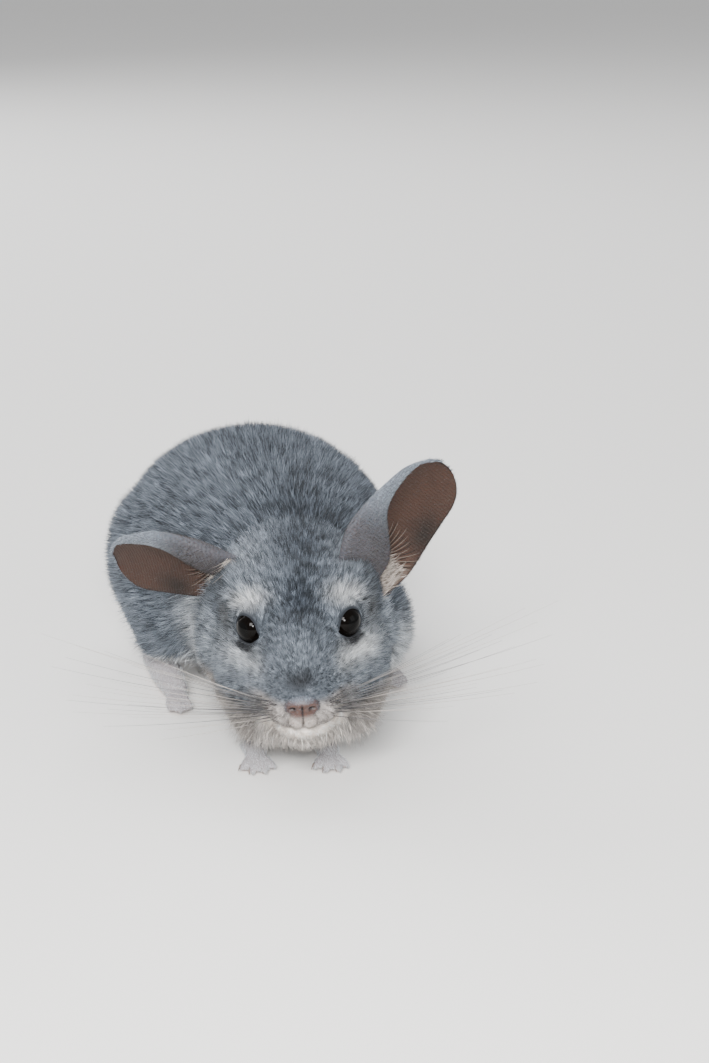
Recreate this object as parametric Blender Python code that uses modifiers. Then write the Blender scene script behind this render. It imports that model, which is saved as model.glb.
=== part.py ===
"""A life-size crouching chinchilla, made as a still museum model.

The row frame is +Z up, with the animal facing -Y. The origin is near the middle of the flat on its
belly, where it rests on the floor. Lengths in the named sizes are millimetres, and MM turns them into metres.
The head's own sizes are measured from the point midway between the eyeballs, nose towards -Y.
"""

import math

import bmesh
import bpy
import numpy as np
from mathutils import Matrix, Vector

MM = 0.001
GAP = 0.3

# Driving sizes, in millimetres and degrees
BODY_HEIGHT = 94.0
BODY_WIDTH = 110.0
EYES_MIDPOINT = (-12.0, -95.0, 54.0)
HEAD_YAW = -15.0
HEAD_PITCH = 5.0
HEAD_ROLL = -3.4
EYE_RADIUS = 6.4
EYE_CENTRE = (15.0, 1.5, -0.5)
EYE_LOOK = (0.745, -0.625, 0.22)
LID_ANGLE = 70.0
LID_THICKNESS = 1.3
EAR_LENGTH = 53.0
EAR_WALL = 1.1
EAR_ROOT = {"L": (23.5, 28.0, 5.0), "R": (23.5, 28.0, 11.0)}
EAR_AXIS = (0.66, 0.30, 0.70)
EAR_HOLLOW = (0.62, -0.78, 0.05)
EAR_SPLAY = {"L": 0.0, "R": 50.0}
# Each quarter of the ear's length: how far its middle line lies to the rear, and its half width
EAR_QUARTERS = ((-1.0, 13.0), (-3.2, 18.0), (-1.5, 17.4), (2.2, 15.4), (7.0, 13.5))
EAR_TIP_START = 0.75
WHISKER_ROOT = 0.36
WHISKER_TIP = 0.16
LOCK_LENGTH = 34.0
LOCK_WIDTH = 17.0
LOCK_THICKNESS = 2.6
LOCK_SWAY = 9.0
LOCKS_AROUND = 6
LOCK_RINGS = 5
SEED = 7

# Stations of the torso from chest to rump: y, height of its middle, half width, half height, half length
TRUNK_LINE = (
    (-54.0, 48.0, 35.0, 34.0, 28.0),
    (-30.0, 46.0, 45.0, 43.5, 34.0),
    (-2.0, BODY_HEIGHT - 49.0, BODY_WIDTH / 2.0 - 2.0, 48.5, 38.0),
    (22.0, BODY_HEIGHT - 48.0, BODY_WIDTH / 2.0, 48.0, 38.0),
    (42.0, 44.0, BODY_WIDTH / 2.0 - 9.0, 41.5, 36.0),
)
# Points along the middle of the tail, from inside the rump to the tip
TAIL_LINE = (
    (0.0, 60.0, 34.0), (1.0, 79.0, 25.0), (4.0, 98.0, 18.5), (10.0, 116.0, 17.0),
    (19.0, 133.0, 17.0), (31.0, 149.0, 17.0), (45.0, 162.0, 17.5), (60.0, 172.0, 18.5),
)
BRUSH_START = 0.20
LOWEST_HAIR = 0.4

# Voxel size, smoothing passes and triangle budget of each soft form
BODY_VOXEL = 1.6
BODY_PASSES = 12
BODY_FINENESS = {"head": 0.060, "neck": 0.022, "torso": 0.017}
LEG_MESH = (1.6, 5, 160)
PAW_MESH = (0.85, 4, 300)
FOOT_MESH = (1.1, 4, 310)
TAIL_MESH = (1.6, 4, 220)
PAD_MESH = (0.9, 4, 240)
NOSE_MESH = (0.55, 3, 260)
HAUNCH_MESH = (2.2, 8, 300)
CORE_MESH = (1.4, 4, 280)

SIDES = (("L", 1.0), ("R", -1.0))
# Ways to join and then split into triangles, in the order that they are tried
SOLVERS = (("EXACT", "BEAUTY"), ("EXACT", "EAR_CLIP"), ("MANIFOLD", "BEAUTY"), ("MANIFOLD", "EAR_CLIP"))


def clear_scene():
    for old in list(bpy.data.objects):
        bpy.data.objects.remove(old)


def new_collection(name):
    made = bpy.data.collections.new(name)
    bpy.context.scene.collection.children.link(made)
    return made


def finish(name, colour, roughness):
    material = bpy.data.materials.new(name)
    material.use_nodes = True
    surface = material.node_tree.nodes["Principled BSDF"]
    surface.inputs["Base Color"].default_value = (*colour, 1.0)
    surface.inputs["Roughness"].default_value = roughness
    return material


def head_matrix():
    turn = (
        Matrix.Rotation(math.radians(HEAD_YAW), 4, "Z")
        @ Matrix.Rotation(math.radians(HEAD_PITCH), 4, "X")
        @ Matrix.Rotation(math.radians(HEAD_ROLL), 4, "Y")
    )
    return Matrix.Translation(Vector(EYES_MIDPOINT)) @ turn


def new_object(name, bm, collection):
    mesh = bpy.data.meshes.new(name)
    bm.to_mesh(mesh)
    bm.free()
    made = bpy.data.objects.new(name, mesh)
    collection.objects.link(made)
    return made


def bake(thing):
    """Turns the object's modifiers into plain mesh."""
    graph = bpy.context.evaluated_depsgraph_get()
    mesh = bpy.data.meshes.new_from_object(thing.evaluated_get(graph))
    thing.modifiers.clear()
    thing.data = mesh
    return thing


def smooth_through(stations, share):
    """A point on the smooth line through the stations, from the first at 0 to the last at 1."""
    rows = np.array(stations)
    place = min(max(share, 0.0), 1.0) * (len(rows) - 1)
    i = min(int(place), len(rows) - 2)
    t = place - i
    before, a = rows[max(i - 1, 0)], rows[i]
    b, after = rows[i + 1], rows[min(i + 2, len(rows) - 1)]
    return 0.5 * (
        2.0 * a + (b - before) * t + (2.0 * before - 5.0 * a + 4.0 * b - after) * t**2
        + (3.0 * a - before - 3.0 * b + after) * t**3
    )


def ball_matrix(centre, radii, tilt=0.0, spin=0.0):
    """An ellipsoid's place: tilt lowers its -Y end, spin turns it about Z, both in degrees."""
    turn = Matrix.Rotation(math.radians(spin), 4, "Z") @ Matrix.Rotation(math.radians(tilt), 4, "X")
    return Matrix.Translation(Vector(centre)) @ turn @ Matrix.Diagonal((*radii, 1.0))


def mirrored(balls):
    """The same ellipsoids on the other side of the middle plane."""
    flipped = []
    for centre, radii, *turns in balls:
        tilt = turns[0] if turns else 0.0
        spin = -turns[1] if len(turns) > 1 else 0.0
        flipped.append(((-centre[0], centre[1], centre[2]), radii, tilt, spin))
    return flipped


def chain(points, radii, steps):
    """Round balls strung along a bent line, for limbs and digits."""
    strung = []
    for here, there, start, end in zip(points, points[1:], radii, radii[1:]):
        for step in range(steps):
            share = step / steps
            centre = Vector(here).lerp(Vector(there), share)
            strung.append((tuple(centre), (start + (end - start) * share,) * 3))
    strung.append((tuple(points[-1]), (radii[-1],) * 3))
    return strung


def unit_ball():
    """Points and faces of a round ball of radius 1."""
    bm = bmesh.new()
    bmesh.ops.create_icosphere(bm, subdivisions=3, radius=1.0)
    points = np.array([vert.co for vert in bm.verts])
    faces = np.array([[vert.index for vert in face.verts] for face in bm.faces])
    bm.free()
    return points, faces


def fused(name, places, voxel, passes, collection):
    """Balls laid out by their matrices and melted into one relaxed skin."""
    points, faces = unit_ball()
    laid, joined = [], []
    for number, place in enumerate(places):
        matrix = np.array(place)
        laid.append((points @ matrix[:3, :3].T + matrix[:3, 3]) * MM)
        joined.append(faces + number * len(points))
    mesh = bpy.data.meshes.new(name)
    mesh.from_pydata(np.concatenate(laid).tolist(), [], np.concatenate(joined).tolist())
    made = bpy.data.objects.new(name, mesh)
    collection.objects.link(made)
    remesh = made.modifiers.new("Skin", "REMESH")
    remesh.mode = "VOXEL"
    remesh.voxel_size = voxel * MM
    smooth = made.modifiers.new("Relax", "SMOOTH")
    smooth.iterations = passes
    return bake(made)


def soft_form(name, balls, mesh_sizes, collection, place=None):
    """One smooth closed skin round overlapping ellipsoids, thinned to a number of triangles."""
    voxel, passes, triangles = mesh_sizes
    place = place or Matrix.Identity(4)
    made = fused(name, [place @ ball_matrix(*ball) for ball in balls], voxel, passes, collection)
    made.data.calc_loop_triangles()
    thin = made.modifiers.new("Thin", "DECIMATE")
    thin.ratio = min(1.0, triangles / len(made.data.loop_triangles))
    thin.use_collapse_triangulate = True
    return bake(made)


def triangulate(mesh, method):
    """Splits the mesh's faces into triangles, and says whether it is still closed."""
    bm = bmesh.new()
    bm.from_mesh(mesh)
    bmesh.ops.triangulate(bm, faces=bm.faces, ngon_method=method)
    closed = bool(bm.faces) and all(edge.is_manifold for edge in bm.edges)
    bm.to_mesh(mesh)
    bm.free()
    return closed


def boolean(target, operation, other):
    """Joins or cuts target with an object or a whole collection, and applies it.

    The exact solver comes first, and the manifold one where that leaves an edge open.
    """
    before = target.data
    for solver, method in SOLVERS:
        target.data = before
        cut = target.modifiers.new(operation, "BOOLEAN")
        cut.operation = operation
        cut.solver = solver
        if isinstance(other, bpy.types.Collection):
            cut.operand_type = "COLLECTION"
            cut.collection = other
        else:
            cut.object = other
        bake(target)
        if triangulate(target.data, method):
            break


def remove(thing):
    mesh = thing.data
    bpy.data.objects.remove(thing)
    bpy.data.meshes.remove(mesh)


def grown(source, amount, collection):
    """A copy whose surface stands off the source's by amount."""
    copy = bpy.data.objects.new(source.name + "_grown", source.data.copy())
    collection.objects.link(copy)
    swell = copy.modifiers.new("Swell", "DISPLACE")
    swell.strength = amount * MM
    swell.mid_level = 0.0
    return bake(copy)


def make_room(target, guest, cutters):
    """Cuts target back so that guest fits against it, face to face with a thin gap."""
    tool = grown(guest, GAP, cutters)
    boolean(target, "DIFFERENCE", tool)
    remove(tool)


def slab(name, size, turn, collection):
    """A box for cutting, given by its full size and its place."""
    bm = bmesh.new()
    bmesh.ops.create_cube(bm, size=1.0)
    bmesh.ops.scale(bm, vec=Vector(size), verts=bm.verts)
    bmesh.ops.transform(bm, matrix=turn, verts=bm.verts)
    bmesh.ops.scale(bm, vec=(MM,) * 3, verts=bm.verts)
    return new_object(name, bm, collection)


def level_underside(target, cutters):
    """Cuts away what lies below the floor, which leaves a small flat to rest on."""
    ground = slab("ground", (600.0, 900.0, 60.0), Matrix.Translation((0.0, 0.0, -30.0)), cutters)
    boolean(target, "DIFFERENCE", ground)
    remove(ground)


def largest_surface(mesh, merge):
    """The mesh's largest closed surface in triangles, with points closer than merge joined."""
    bm = bmesh.new()
    bm.from_mesh(mesh)
    bmesh.ops.remove_doubles(bm, verts=bm.verts, dist=merge)
    bmesh.ops.dissolve_degenerate(bm, edges=bm.edges, dist=merge)
    unseen = set(bm.faces)
    groups = []
    while unseen:
        group, border = set(), [unseen.pop()]
        while border:
            face = border.pop()
            group.add(face)
            for edge in face.edges:
                for near in edge.link_faces:
                    if near in unseen:
                        unseen.discard(near)
                        border.append(near)
        groups.append(group)
    largest = max(groups, key=lambda group: sum(face.calc_area() for face in group))
    loose = [face for face in bm.faces if face not in largest]
    bmesh.ops.delete(bm, geom=loose, context="FACES")
    bmesh.ops.triangulate(bm, faces=bm.faces)
    return bm


def keep_largest(target):
    """Drops every loose scrap, and takes the first clean-up that leaves the surface closed."""
    for merge in (5e-6, 1e-6, 1e-7):
        bm = largest_surface(target.data, merge)
        if all(edge.is_manifold for edge in bm.edges):
            break
    bm.to_mesh(target.data)
    bm.free()


def spike_template(sides, rings):
    """A unit cone along +Z with extra rings, ready to be bent into a hair."""
    bm = bmesh.new()
    bmesh.ops.create_cone(
        bm, cap_ends=True, segments=sides, radius1=1.0, radius2=0.0, depth=1.0,
        matrix=Matrix.Translation((0.0, 0.0, 0.5)),
    )
    for ring in range(1, rings):
        everything = bm.verts[:] + bm.edges[:] + bm.faces[:]
        bmesh.ops.bisect_plane(bm, geom=everything, plane_co=(0, 0, ring / rings), plane_no=(0, 0, 1))
    bmesh.ops.triangulate(bm, faces=bm.faces)
    return bm


def bent_spike(name, template, spine, across, widths, thickness, collection):
    """The unit cone laid along a bent line, with its half width and half thickness at each share."""
    bm = template.copy()
    for vert in bm.verts:
        share = vert.co.z
        lean = max(1.0 - share, 0.02)
        middle = spine(share)
        ahead = (spine(min(share + 0.02, 1.0)) - spine(max(share - 0.02, 0.0))).normalized()
        side = (across - ahead * across.dot(ahead)).normalized()
        rise = side.cross(ahead)
        reach = widths(share) / lean
        depth = thickness(share) / lean
        vert.co = (middle + side * vert.co.x * reach + rise * vert.co.y * depth) * MM
    if bm.calc_volume(signed=True) < 0.0:
        bmesh.ops.reverse_faces(bm, faces=bm.faces)
    return new_object(name, bm, collection)


def trunk_balls():
    """Ellipsoids of the torso and neck: centre, radii, tilt, spin."""
    balls = []
    for share in np.linspace(0.0, 1.0, 13):
        y, middle, half_width, half_height, half_length = smooth_through(TRUNK_LINE, share)
        balls.append(((0.0, y, middle), (half_width, half_length, half_height)))
    balls.append(((0.0, 0.0, 23.0), (47.0, 52.0, 25.5)))
    balls.append(((-2.0, -57.0, 54.0), (32.0, 28.0, 27.0), -8.0))
    balls.append(((-5.0, -67.0, 51.0), (31.0, 25.0, 28.0), 0.0, HEAD_YAW))
    for _, side in SIDES:
        balls.append(((22.5 * side, -58.0, 37.0), (20.0, 24.0, 24.0)))
    return balls


def head_balls():
    """Ellipsoids of the head in its own frame: centre, radii, tilt, spin."""
    middle = [
        ((0.0, 20.0, -4.0), (26.5, 27.0, 24.0)),
        ((0.0, -8.0, -9.0), (14.5, 25.0, 14.0), 22.0),
        ((0.0, -20.0, -18.5), (11.5, 10.5, 9.5)),
        ((0.0, -15.0, -28.0), (12.0, 12.0, 9.0)),
        ((0.0, -3.0, -33.0), (17.0, 16.0, 10.5)),
        ((0.0, 10.0, -27.0), (24.0, 24.0, 15.0)),
    ]
    left = [
        ((17.0, 10.0, -16.0), (15.0, 19.0, 17.0)),
        ((16.0, 7.0, -25.0), (16.0, 19.0, 14.0)),
        ((15.0, -1.0, -31.0), (12.5, 15.5, 11.0)),
        ((13.0, -5.0, -19.5), (11.5, 16.0, 12.0), 10.0, -22.0),
        ((8.5, -9.0, -14.5), (10.0, 15.0, 10.5), 12.0, -10.0),
        ((9.0, 0.5, -1.0), (6.5, 7.0, 8.0)),
        ((13.5, 6.0, 6.0), (7.5, 8.0, 5.0)),
        ((18.5, 18.0, 1.0), (10.0, 15.0, 14.5)),
    ]
    return middle + left + mirrored(left)


def part_body(body, cutters, collection):
    """Parts the one skin into head, neck and torso with thin cuts, each thinned to its own fineness."""
    place = head_matrix()
    head_axis = place.to_3x3() @ Vector((0.0, math.cos(math.radians(20)), -math.sin(math.radians(20))))
    head_point = place @ Vector((0.0, 33.0, 0.0))
    neck_axis = Vector((0.10, 0.88, -0.46)).normalized()
    neck_point = Vector((-1.0, -49.0, 60.0))
    pieces = {}
    for name, share_kept in BODY_FINENESS.items():
        copy = bpy.data.objects.new(name, body.data.copy())
        collection.objects.link(copy)
        thin = copy.modifiers.new("Thin", "DECIMATE")
        thin.ratio = share_kept
        thin.use_collapse_triangulate = True
        pieces[name] = bake(copy)
    cuts = (
        ("head", head_point, head_axis),
        ("neck", head_point, -head_axis),
        ("neck", neck_point, neck_axis),
        ("torso", neck_point, -neck_axis),
        ("torso", head_point, -head_axis),
    )
    depth = 260.0
    for name, point, normal in cuts:
        centre = point + normal * (depth - GAP) / 2.0
        turn = normal.to_track_quat("Z", "Y").to_matrix().to_4x4()
        tool = slab("plane", (400.0, 400.0, depth), Matrix.Translation(centre) @ turn, cutters)
        boolean(pieces[name], "DIFFERENCE", tool)
        remove(tool)
    return pieces


def lid_ring(side, place, collection):
    """The rim of the eyelids, an oval ring round the opening that shows the eyeball."""
    look = Vector((EYE_LOOK[0] * side, EYE_LOOK[1], EYE_LOOK[2])).normalized()
    middle = Vector((EYE_CENTRE[0] * side, EYE_CENTRE[1], EYE_CENTRE[2]))
    upright = look.to_track_quat("Z", "Y").to_matrix().to_4x4()
    opening = (EYE_RADIUS + LID_THICKNESS) * math.sin(math.radians(LID_ANGLE))
    forward = (EYE_RADIUS + LID_THICKNESS) * math.cos(math.radians(LID_ANGLE)) + LID_THICKNESS / 2.0
    around, across = 18, 5
    bm = bmesh.new()
    loops = []
    for i in range(around):
        angle = 2.0 * math.pi * i / around
        spoke = Vector((math.cos(angle), math.sin(angle), 0.0))
        centre = spoke * opening + Vector((0.0, 0.0, forward - 0.9 * abs(math.cos(angle)) ** 3))
        loop = []
        for j in range(across):
            turn = 2.0 * math.pi * j / across
            offset = spoke * math.cos(turn) + Vector((0.0, 0.0, math.sin(turn)))
            point = upright @ (centre + offset * LID_THICKNESS)
            loop.append(bm.verts.new((place @ (middle + point)) * MM))
        loops.append(loop)
    for i in range(around):
        for j in range(across):
            here, there = loops[i], loops[(i + 1) % around]
            k = (j + 1) % across
            bm.faces.new((here[j], there[j], there[k], here[k]))
    bmesh.ops.recalc_face_normals(bm, faces=bm.faces)
    return new_object("lid", bm, collection)


def eyeball(name, side, place, collection):
    bm = bmesh.new()
    middle = place @ Vector((EYE_CENTRE[0] * side, EYE_CENTRE[1], EYE_CENTRE[2]))
    bmesh.ops.create_icosphere(
        bm, subdivisions=3, radius=EYE_RADIUS * MM, matrix=Matrix.Translation(middle * MM)
    )
    made = new_object(name, bm, collection)
    made.data.shade_smooth()
    return made


def mouth_cutter(place, collection):
    """A thin bent blade that draws the line of the mouth under the whisker pads."""
    bm = bmesh.new()
    reach, depth, height, steps = 12.0, 14.0, 1.0, 10
    rings = []
    for step in range(steps + 1):
        share = 2.0 * step / steps - 1.0
        front = -36.0 + 9.0 * share**2
        level = -27.4 - 0.5 * abs(share) + 2.0 * share**4
        ring = []
        for dy, dz in ((0.0, -height / 2), (depth, -height / 4), (depth, height / 4), (0.0, height / 2)):
            ring.append(bm.verts.new((place @ Vector((reach * share, front + dy, level + dz))) * MM))
        rings.append(ring)
    for a, b in zip(rings, rings[1:]):
        for j in range(4):
            k = (j + 1) % 4
            bm.faces.new((a[j], a[k], b[k], b[j]))
    bm.faces.new(rings[0])
    bm.faces.new(rings[-1])
    bmesh.ops.recalc_face_normals(bm, faces=bm.faces)
    return new_object("mouth", bm, collection)


def whisker_roots(side):
    """(root, direction, length) of each whisker in the head's frame, in rows up the pad."""
    whiskers = []
    for row, (height, swing) in enumerate(((-16.6, 24.0), (-19.2, 6.0), (-22.0, -12.0))):
        for column in range(3):
            root = Vector(((9.4 + 1.2 * column) * side, -26.5 + 3.0 * column, height - 0.4 * column))
            back = math.radians(2.0 + 5.0 * column)
            rise = math.radians(swing * (1.0 - 0.25 * column))
            level = Vector((side * math.cos(back), math.sin(back), 0.0))
            aim = level * math.cos(rise) + Vector((0.0, 0.0, math.sin(rise)))
            whiskers.append((root, aim, (62.0, 76.0, 84.0)[column] - 5.0 * row))
    return whiskers


def whisker(name, root, aim, length, place, template, collection):
    """One long tapered hair that sweeps back and droops a little towards its tip."""
    droop = Vector((0.0, 0.28, -0.09)) * length
    sunk = 3.0

    def spine(share):
        return place @ (root - aim * sunk + aim * (length + sunk) * share + droop * share**2)

    def taper(share):
        return WHISKER_ROOT + (WHISKER_TIP - WHISKER_ROOT) * share

    upright = place.to_3x3() @ Vector((0.0, 0.0, 1.0))
    return bent_spike(name, template, spine, upright, taper, taper, collection)


def whisker_pad(name, side, place, collection):
    """The rounded pad of the upper lip on one side of the nose."""
    balls = [
        ((6.2 * side, -23.0, -20.4), (6.9, 7.6, 6.2), 10.0, -16.0 * side),
        ((9.5 * side, -17.5, -20.0), (5.8, 8.0, 6.0), 10.0, -22.0 * side),
    ]
    return soft_form(name, balls, PAD_MESH, collection, place)


def grow_whiskers(pad, side, place, template):
    """Fuses the whiskers of one side into their pad, roots sunk well in."""
    group = new_collection("whiskers")
    for number, (root, aim, length) in enumerate(whisker_roots(side)):
        whisker(f"whisker_{number}", root, aim, length, place, template, group)
    boolean(pad, "UNION", group)
    for hair in list(group.objects):
        remove(hair)
    bpy.data.collections.remove(group)
    keep_largest(pad)


def nose_form(place, cutters, collection):
    """The bare nose tip with a comma-shaped nostril on each side."""
    balls = [
        ((0.0, -28.6, -16.2), (4.6, 3.9, 3.4)),
        ((0.0, -29.4, -18.6), (2.9, 3.0, 2.8)),
    ]
    nose = soft_form("nose", balls, NOSE_MESH, collection, place)
    for _, side in SIDES:
        turn = place @ ball_matrix((3.3 * side, -31.2, -17.0), (0.75, 2.2, 1.5), 0.0, 28.0 * side)
        bm = bmesh.new()
        bmesh.ops.create_uvsphere(bm, u_segments=10, v_segments=6, radius=1.0, matrix=turn)
        bmesh.ops.scale(bm, vec=(MM,) * 3, verts=bm.verts)
        nostril = new_object("nostril", bm, cutters)
        boolean(nose, "DIFFERENCE", nostril)
        remove(nostril)
    return nose


def ear_section(share):
    """(offset of the middle to the rear, half width, arc in radians) of the ear at this share of its length."""
    middle, half = smooth_through(EAR_QUARTERS, share)
    past = max(share - EAR_TIP_START, 0.0) / (1.0 - EAR_TIP_START)
    arc = math.radians(60.0 + 60.0 * (1.0 - share) ** 1.5)
    return middle, half * math.sqrt(max(1.0 - past**2, 0.0)), arc


def ear_form(name, side, place, collection):
    """A thin cupped ear, rolled towards its root, with its hollow facing out and forward."""
    rows, columns = 11, 9
    letter = name[-1]
    splay = Matrix.Rotation(math.radians(EAR_SPLAY[letter]) * side, 4, "Y")
    axis = (splay @ Vector((EAR_AXIS[0] * side, *EAR_AXIS[1:]))).normalized()
    hollow = splay @ Vector((EAR_HOLLOW[0] * side, *EAR_HOLLOW[1:]))
    hollow = (hollow - axis * hollow.dot(axis)).normalized()
    rear = axis.cross(hollow) * side
    out, back, up = EAR_ROOT[letter]
    root = Vector((out * side, back, up)) - axis * 4.0
    bm = bmesh.new()
    grid = []
    for row in range(rows + 1):
        share = 0.992 * math.sin(math.pi / 2 * row / rows)
        middle, half, arc = ear_section(share)
        radius = half / math.sin(arc / 2.0)
        spine = root + axis * EAR_LENGTH * share - hollow * (4.5 + 4.0 * share**2) + rear * middle
        line = []
        for column in range(columns + 1):
            across = 2.0 * column / columns - 1.0
            angle = arc * across / 2.0
            point = spine + rear * radius * math.sin(angle) + hollow * radius * (1.0 - math.cos(angle))
            line.append(bm.verts.new((place @ point) * MM))
        grid.append(line)
    for row in range(rows):
        for column in range(columns):
            a, b = grid[row], grid[row + 1]
            bm.faces.new((a[column], a[column + 1], b[column + 1], b[column]))
    bmesh.ops.triangulate(bm, faces=bm.faces)
    ear = new_object(name, bm, collection)
    wall = ear.modifiers.new("Wall", "SOLIDIFY")
    wall.thickness = EAR_WALL * MM
    wall.offset = 0.0
    bake(ear)
    bm = bmesh.new()
    bm.from_mesh(ear.data)
    bmesh.ops.triangulate(bm, faces=bm.faces)
    if bm.calc_volume(signed=True) < 0.0:
        bmesh.ops.reverse_faces(bm, faces=bm.faces)
    bm.to_mesh(ear.data)
    bm.free()
    return ear


def forelimb(letter, side, collection):
    """The forearm from the chest down to the wrist, and the small four-fingered hand flat on the floor."""
    wrist = Vector((-13.0 + 12.5 * side, -82.0 - 3.0 * side, 8.0))
    elbow = Vector((25.0 * side, -58.0, 24.0))
    arm_balls = chain([elbow, wrist.lerp(elbow, 0.35), wrist], [12.0, 8.6, 6.0], 5)
    arm = soft_form("foreleg_" + letter, arm_balls, LEG_MESH, collection)
    heel = Vector((wrist.x, wrist.y, 4.0))
    palm = heel + Vector((0.0, -6.0, -0.8))
    balls = chain([heel, palm], [4.4, 4.2], 3)
    heading = math.radians(HEAD_YAW * 0.6)
    for spread, length in ((-32.0, 7.0), (-11.0, 9.0), (10.0, 9.0), (31.0, 7.0)):
        turn = math.radians(spread) + heading
        way = Vector((math.sin(turn), -math.cos(turn), 0.0))
        start = palm + way * 3.0 + Vector((0.0, 0.0, -0.8))
        knuckle = start + way * length * 0.6 + Vector((0.0, 0.0, -0.3))
        tip = start + way * length + Vector((0.0, 0.0, -0.9))
        claw = tip + way * 2.0 + Vector((0.0, 0.0, -0.5))
        balls += chain([start, knuckle, tip, claw], [2.2, 1.9, 1.7, 0.9], 4)
    hand = soft_form("forepaw_" + letter, balls, PAW_MESH, collection)
    return arm, hand


def hindlimb(letter, side, collection):
    """The round haunch, and the long hind foot flat under it with its three toes showing in front."""
    haunch_line = (
        (38.5, 22.0, 40.0, 20.5, 34.0, 33.0),
        (39.0, 10.0, 32.0, 19.0, 32.0, 27.0),
        (39.0, -4.0, 23.0, 16.5, 24.0, 18.5),
    )
    haunch_balls = []
    for share in np.linspace(0.0, 1.0, 6):
        x, y, z, *radii = smooth_through(haunch_line, share)
        haunch_balls.append(((x * side, y, z), radii))
    haunch = soft_form("haunch_" + letter, haunch_balls, HAUNCH_MESH, collection)
    heel = Vector((42.0 * side, 8.0, 5.8))
    instep = Vector((42.0 * side, -10.0, 5.8))
    ball_of_foot = Vector((41.5 * side, -23.0, 4.4))
    balls = chain([heel, instep, ball_of_foot], [6.2, 6.4, 5.0], 5)
    for spread, length in ((-15.0, 9.0), (0.0, 11.0), (15.0, 9.0)):
        turn = math.radians(spread + 5.0 * side)
        way = Vector((math.sin(turn), -math.cos(turn), 0.0))
        start = ball_of_foot + way * 3.5 + Vector((0.0, 0.0, -0.8))
        knuckle = start + way * length * 0.6 + Vector((0.0, 0.0, -0.5))
        tip = start + way * length + Vector((0.0, 0.0, -1.3))
        claw = tip + way * 2.4 + Vector((0.0, 0.0, -0.7))
        balls += chain([start, knuckle, tip, claw], [3.0, 2.7, 2.3, 1.0], 4)
    foot = soft_form("hindfoot_" + letter, balls, FOOT_MESH, collection)
    return haunch, foot


def core_radius(share):
    return 8.2 - 3.6 * share


def tail_lock(name, share, angle, lean, length, rng, template, group):
    """One flat tapered lock that leans back along the tail and bends down onto its lie."""
    middle = Vector(smooth_through(TAIL_LINE, share))
    before, after = (Vector(smooth_through(TAIL_LINE, share + step)) for step in (-0.02, 0.02))
    ahead = (after - before).normalized()
    side = ahead.cross(Vector((0.0, 0.0, 1.0))).normalized()
    outward = side * math.cos(angle) + side.cross(ahead) * math.sin(angle)
    around = ahead.cross(outward).normalized()
    root = middle + outward * (core_radius(share) - 3.4)
    aim = ahead * math.cos(lean) + outward * math.sin(lean)
    sway = around * (rng.random() - 0.5) * LOCK_SWAY

    def spine(t):
        point = root + aim * length * t - outward * length * 0.26 * t**2 + sway * t**2
        point.z = max(point.z, LOWEST_HAIR)
        return point

    def width(t):
        return LOCK_WIDTH / 2.0 * min(0.55 + 1.35 * t, 1.0) * max(1.0 - t, 0.0) ** 0.5

    def thickness(t):
        return LOCK_THICKNESS / 2.0 * max(1.0 - t, 0.0) ** 0.5

    bent_spike(name, template, spine, around, width, thickness, group)


def grow_locks(brush):
    """Fuses rings of overlapping locks into the brush's core, with a tuft of them at the tip."""
    rng = np.random.default_rng(SEED)
    template = spike_template(4, 3)
    group = new_collection("locks")
    for ring in range(LOCK_RINGS + 1):
        along = ring / LOCK_RINGS
        share = BRUSH_START + 0.06 + (0.92 - BRUSH_START) * along
        around = LOCKS_AROUND if ring < LOCK_RINGS else 3
        lean = math.radians(46.0 - 26.0 * along)
        length = LOCK_LENGTH * (0.60 + 0.42 * math.sin(math.pi * (0.15 + 0.70 * along)))
        for k in range(around):
            angle = 2.0 * math.pi * (k + 0.5 * (ring % 2)) / around + 0.25 * (rng.random() - 0.5)
            stretch = 0.93 + 0.14 * rng.random()
            tail_lock(f"lock_{ring}_{k}", share, angle, lean, length * stretch, rng, template, group)
    template.free()
    boolean(brush, "UNION", group)
    for lock in list(group.objects):
        remove(lock)
    bpy.data.collections.remove(group)


def tail_forms(collection, cutters):
    """The smooth root of the tail, and the brush of coarse locks that makes the rest of it."""
    root_balls = []
    for share in np.linspace(0.0, BRUSH_START + 0.02, 6):
        root_balls.append((tuple(smooth_through(TAIL_LINE, share)), (13.0 - 15.0 * share,) * 3))
    root = soft_form("tail_root", root_balls, TAIL_MESH, collection)
    core_balls = []
    for share in np.linspace(BRUSH_START, 1.0, 30):
        core_balls.append((tuple(smooth_through(TAIL_LINE, share)), (core_radius(share),) * 3))
    brush = soft_form("tail_brush", core_balls, CORE_MESH, collection)
    make_room(root, brush, cutters)
    grow_locks(brush)
    return root, brush


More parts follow.
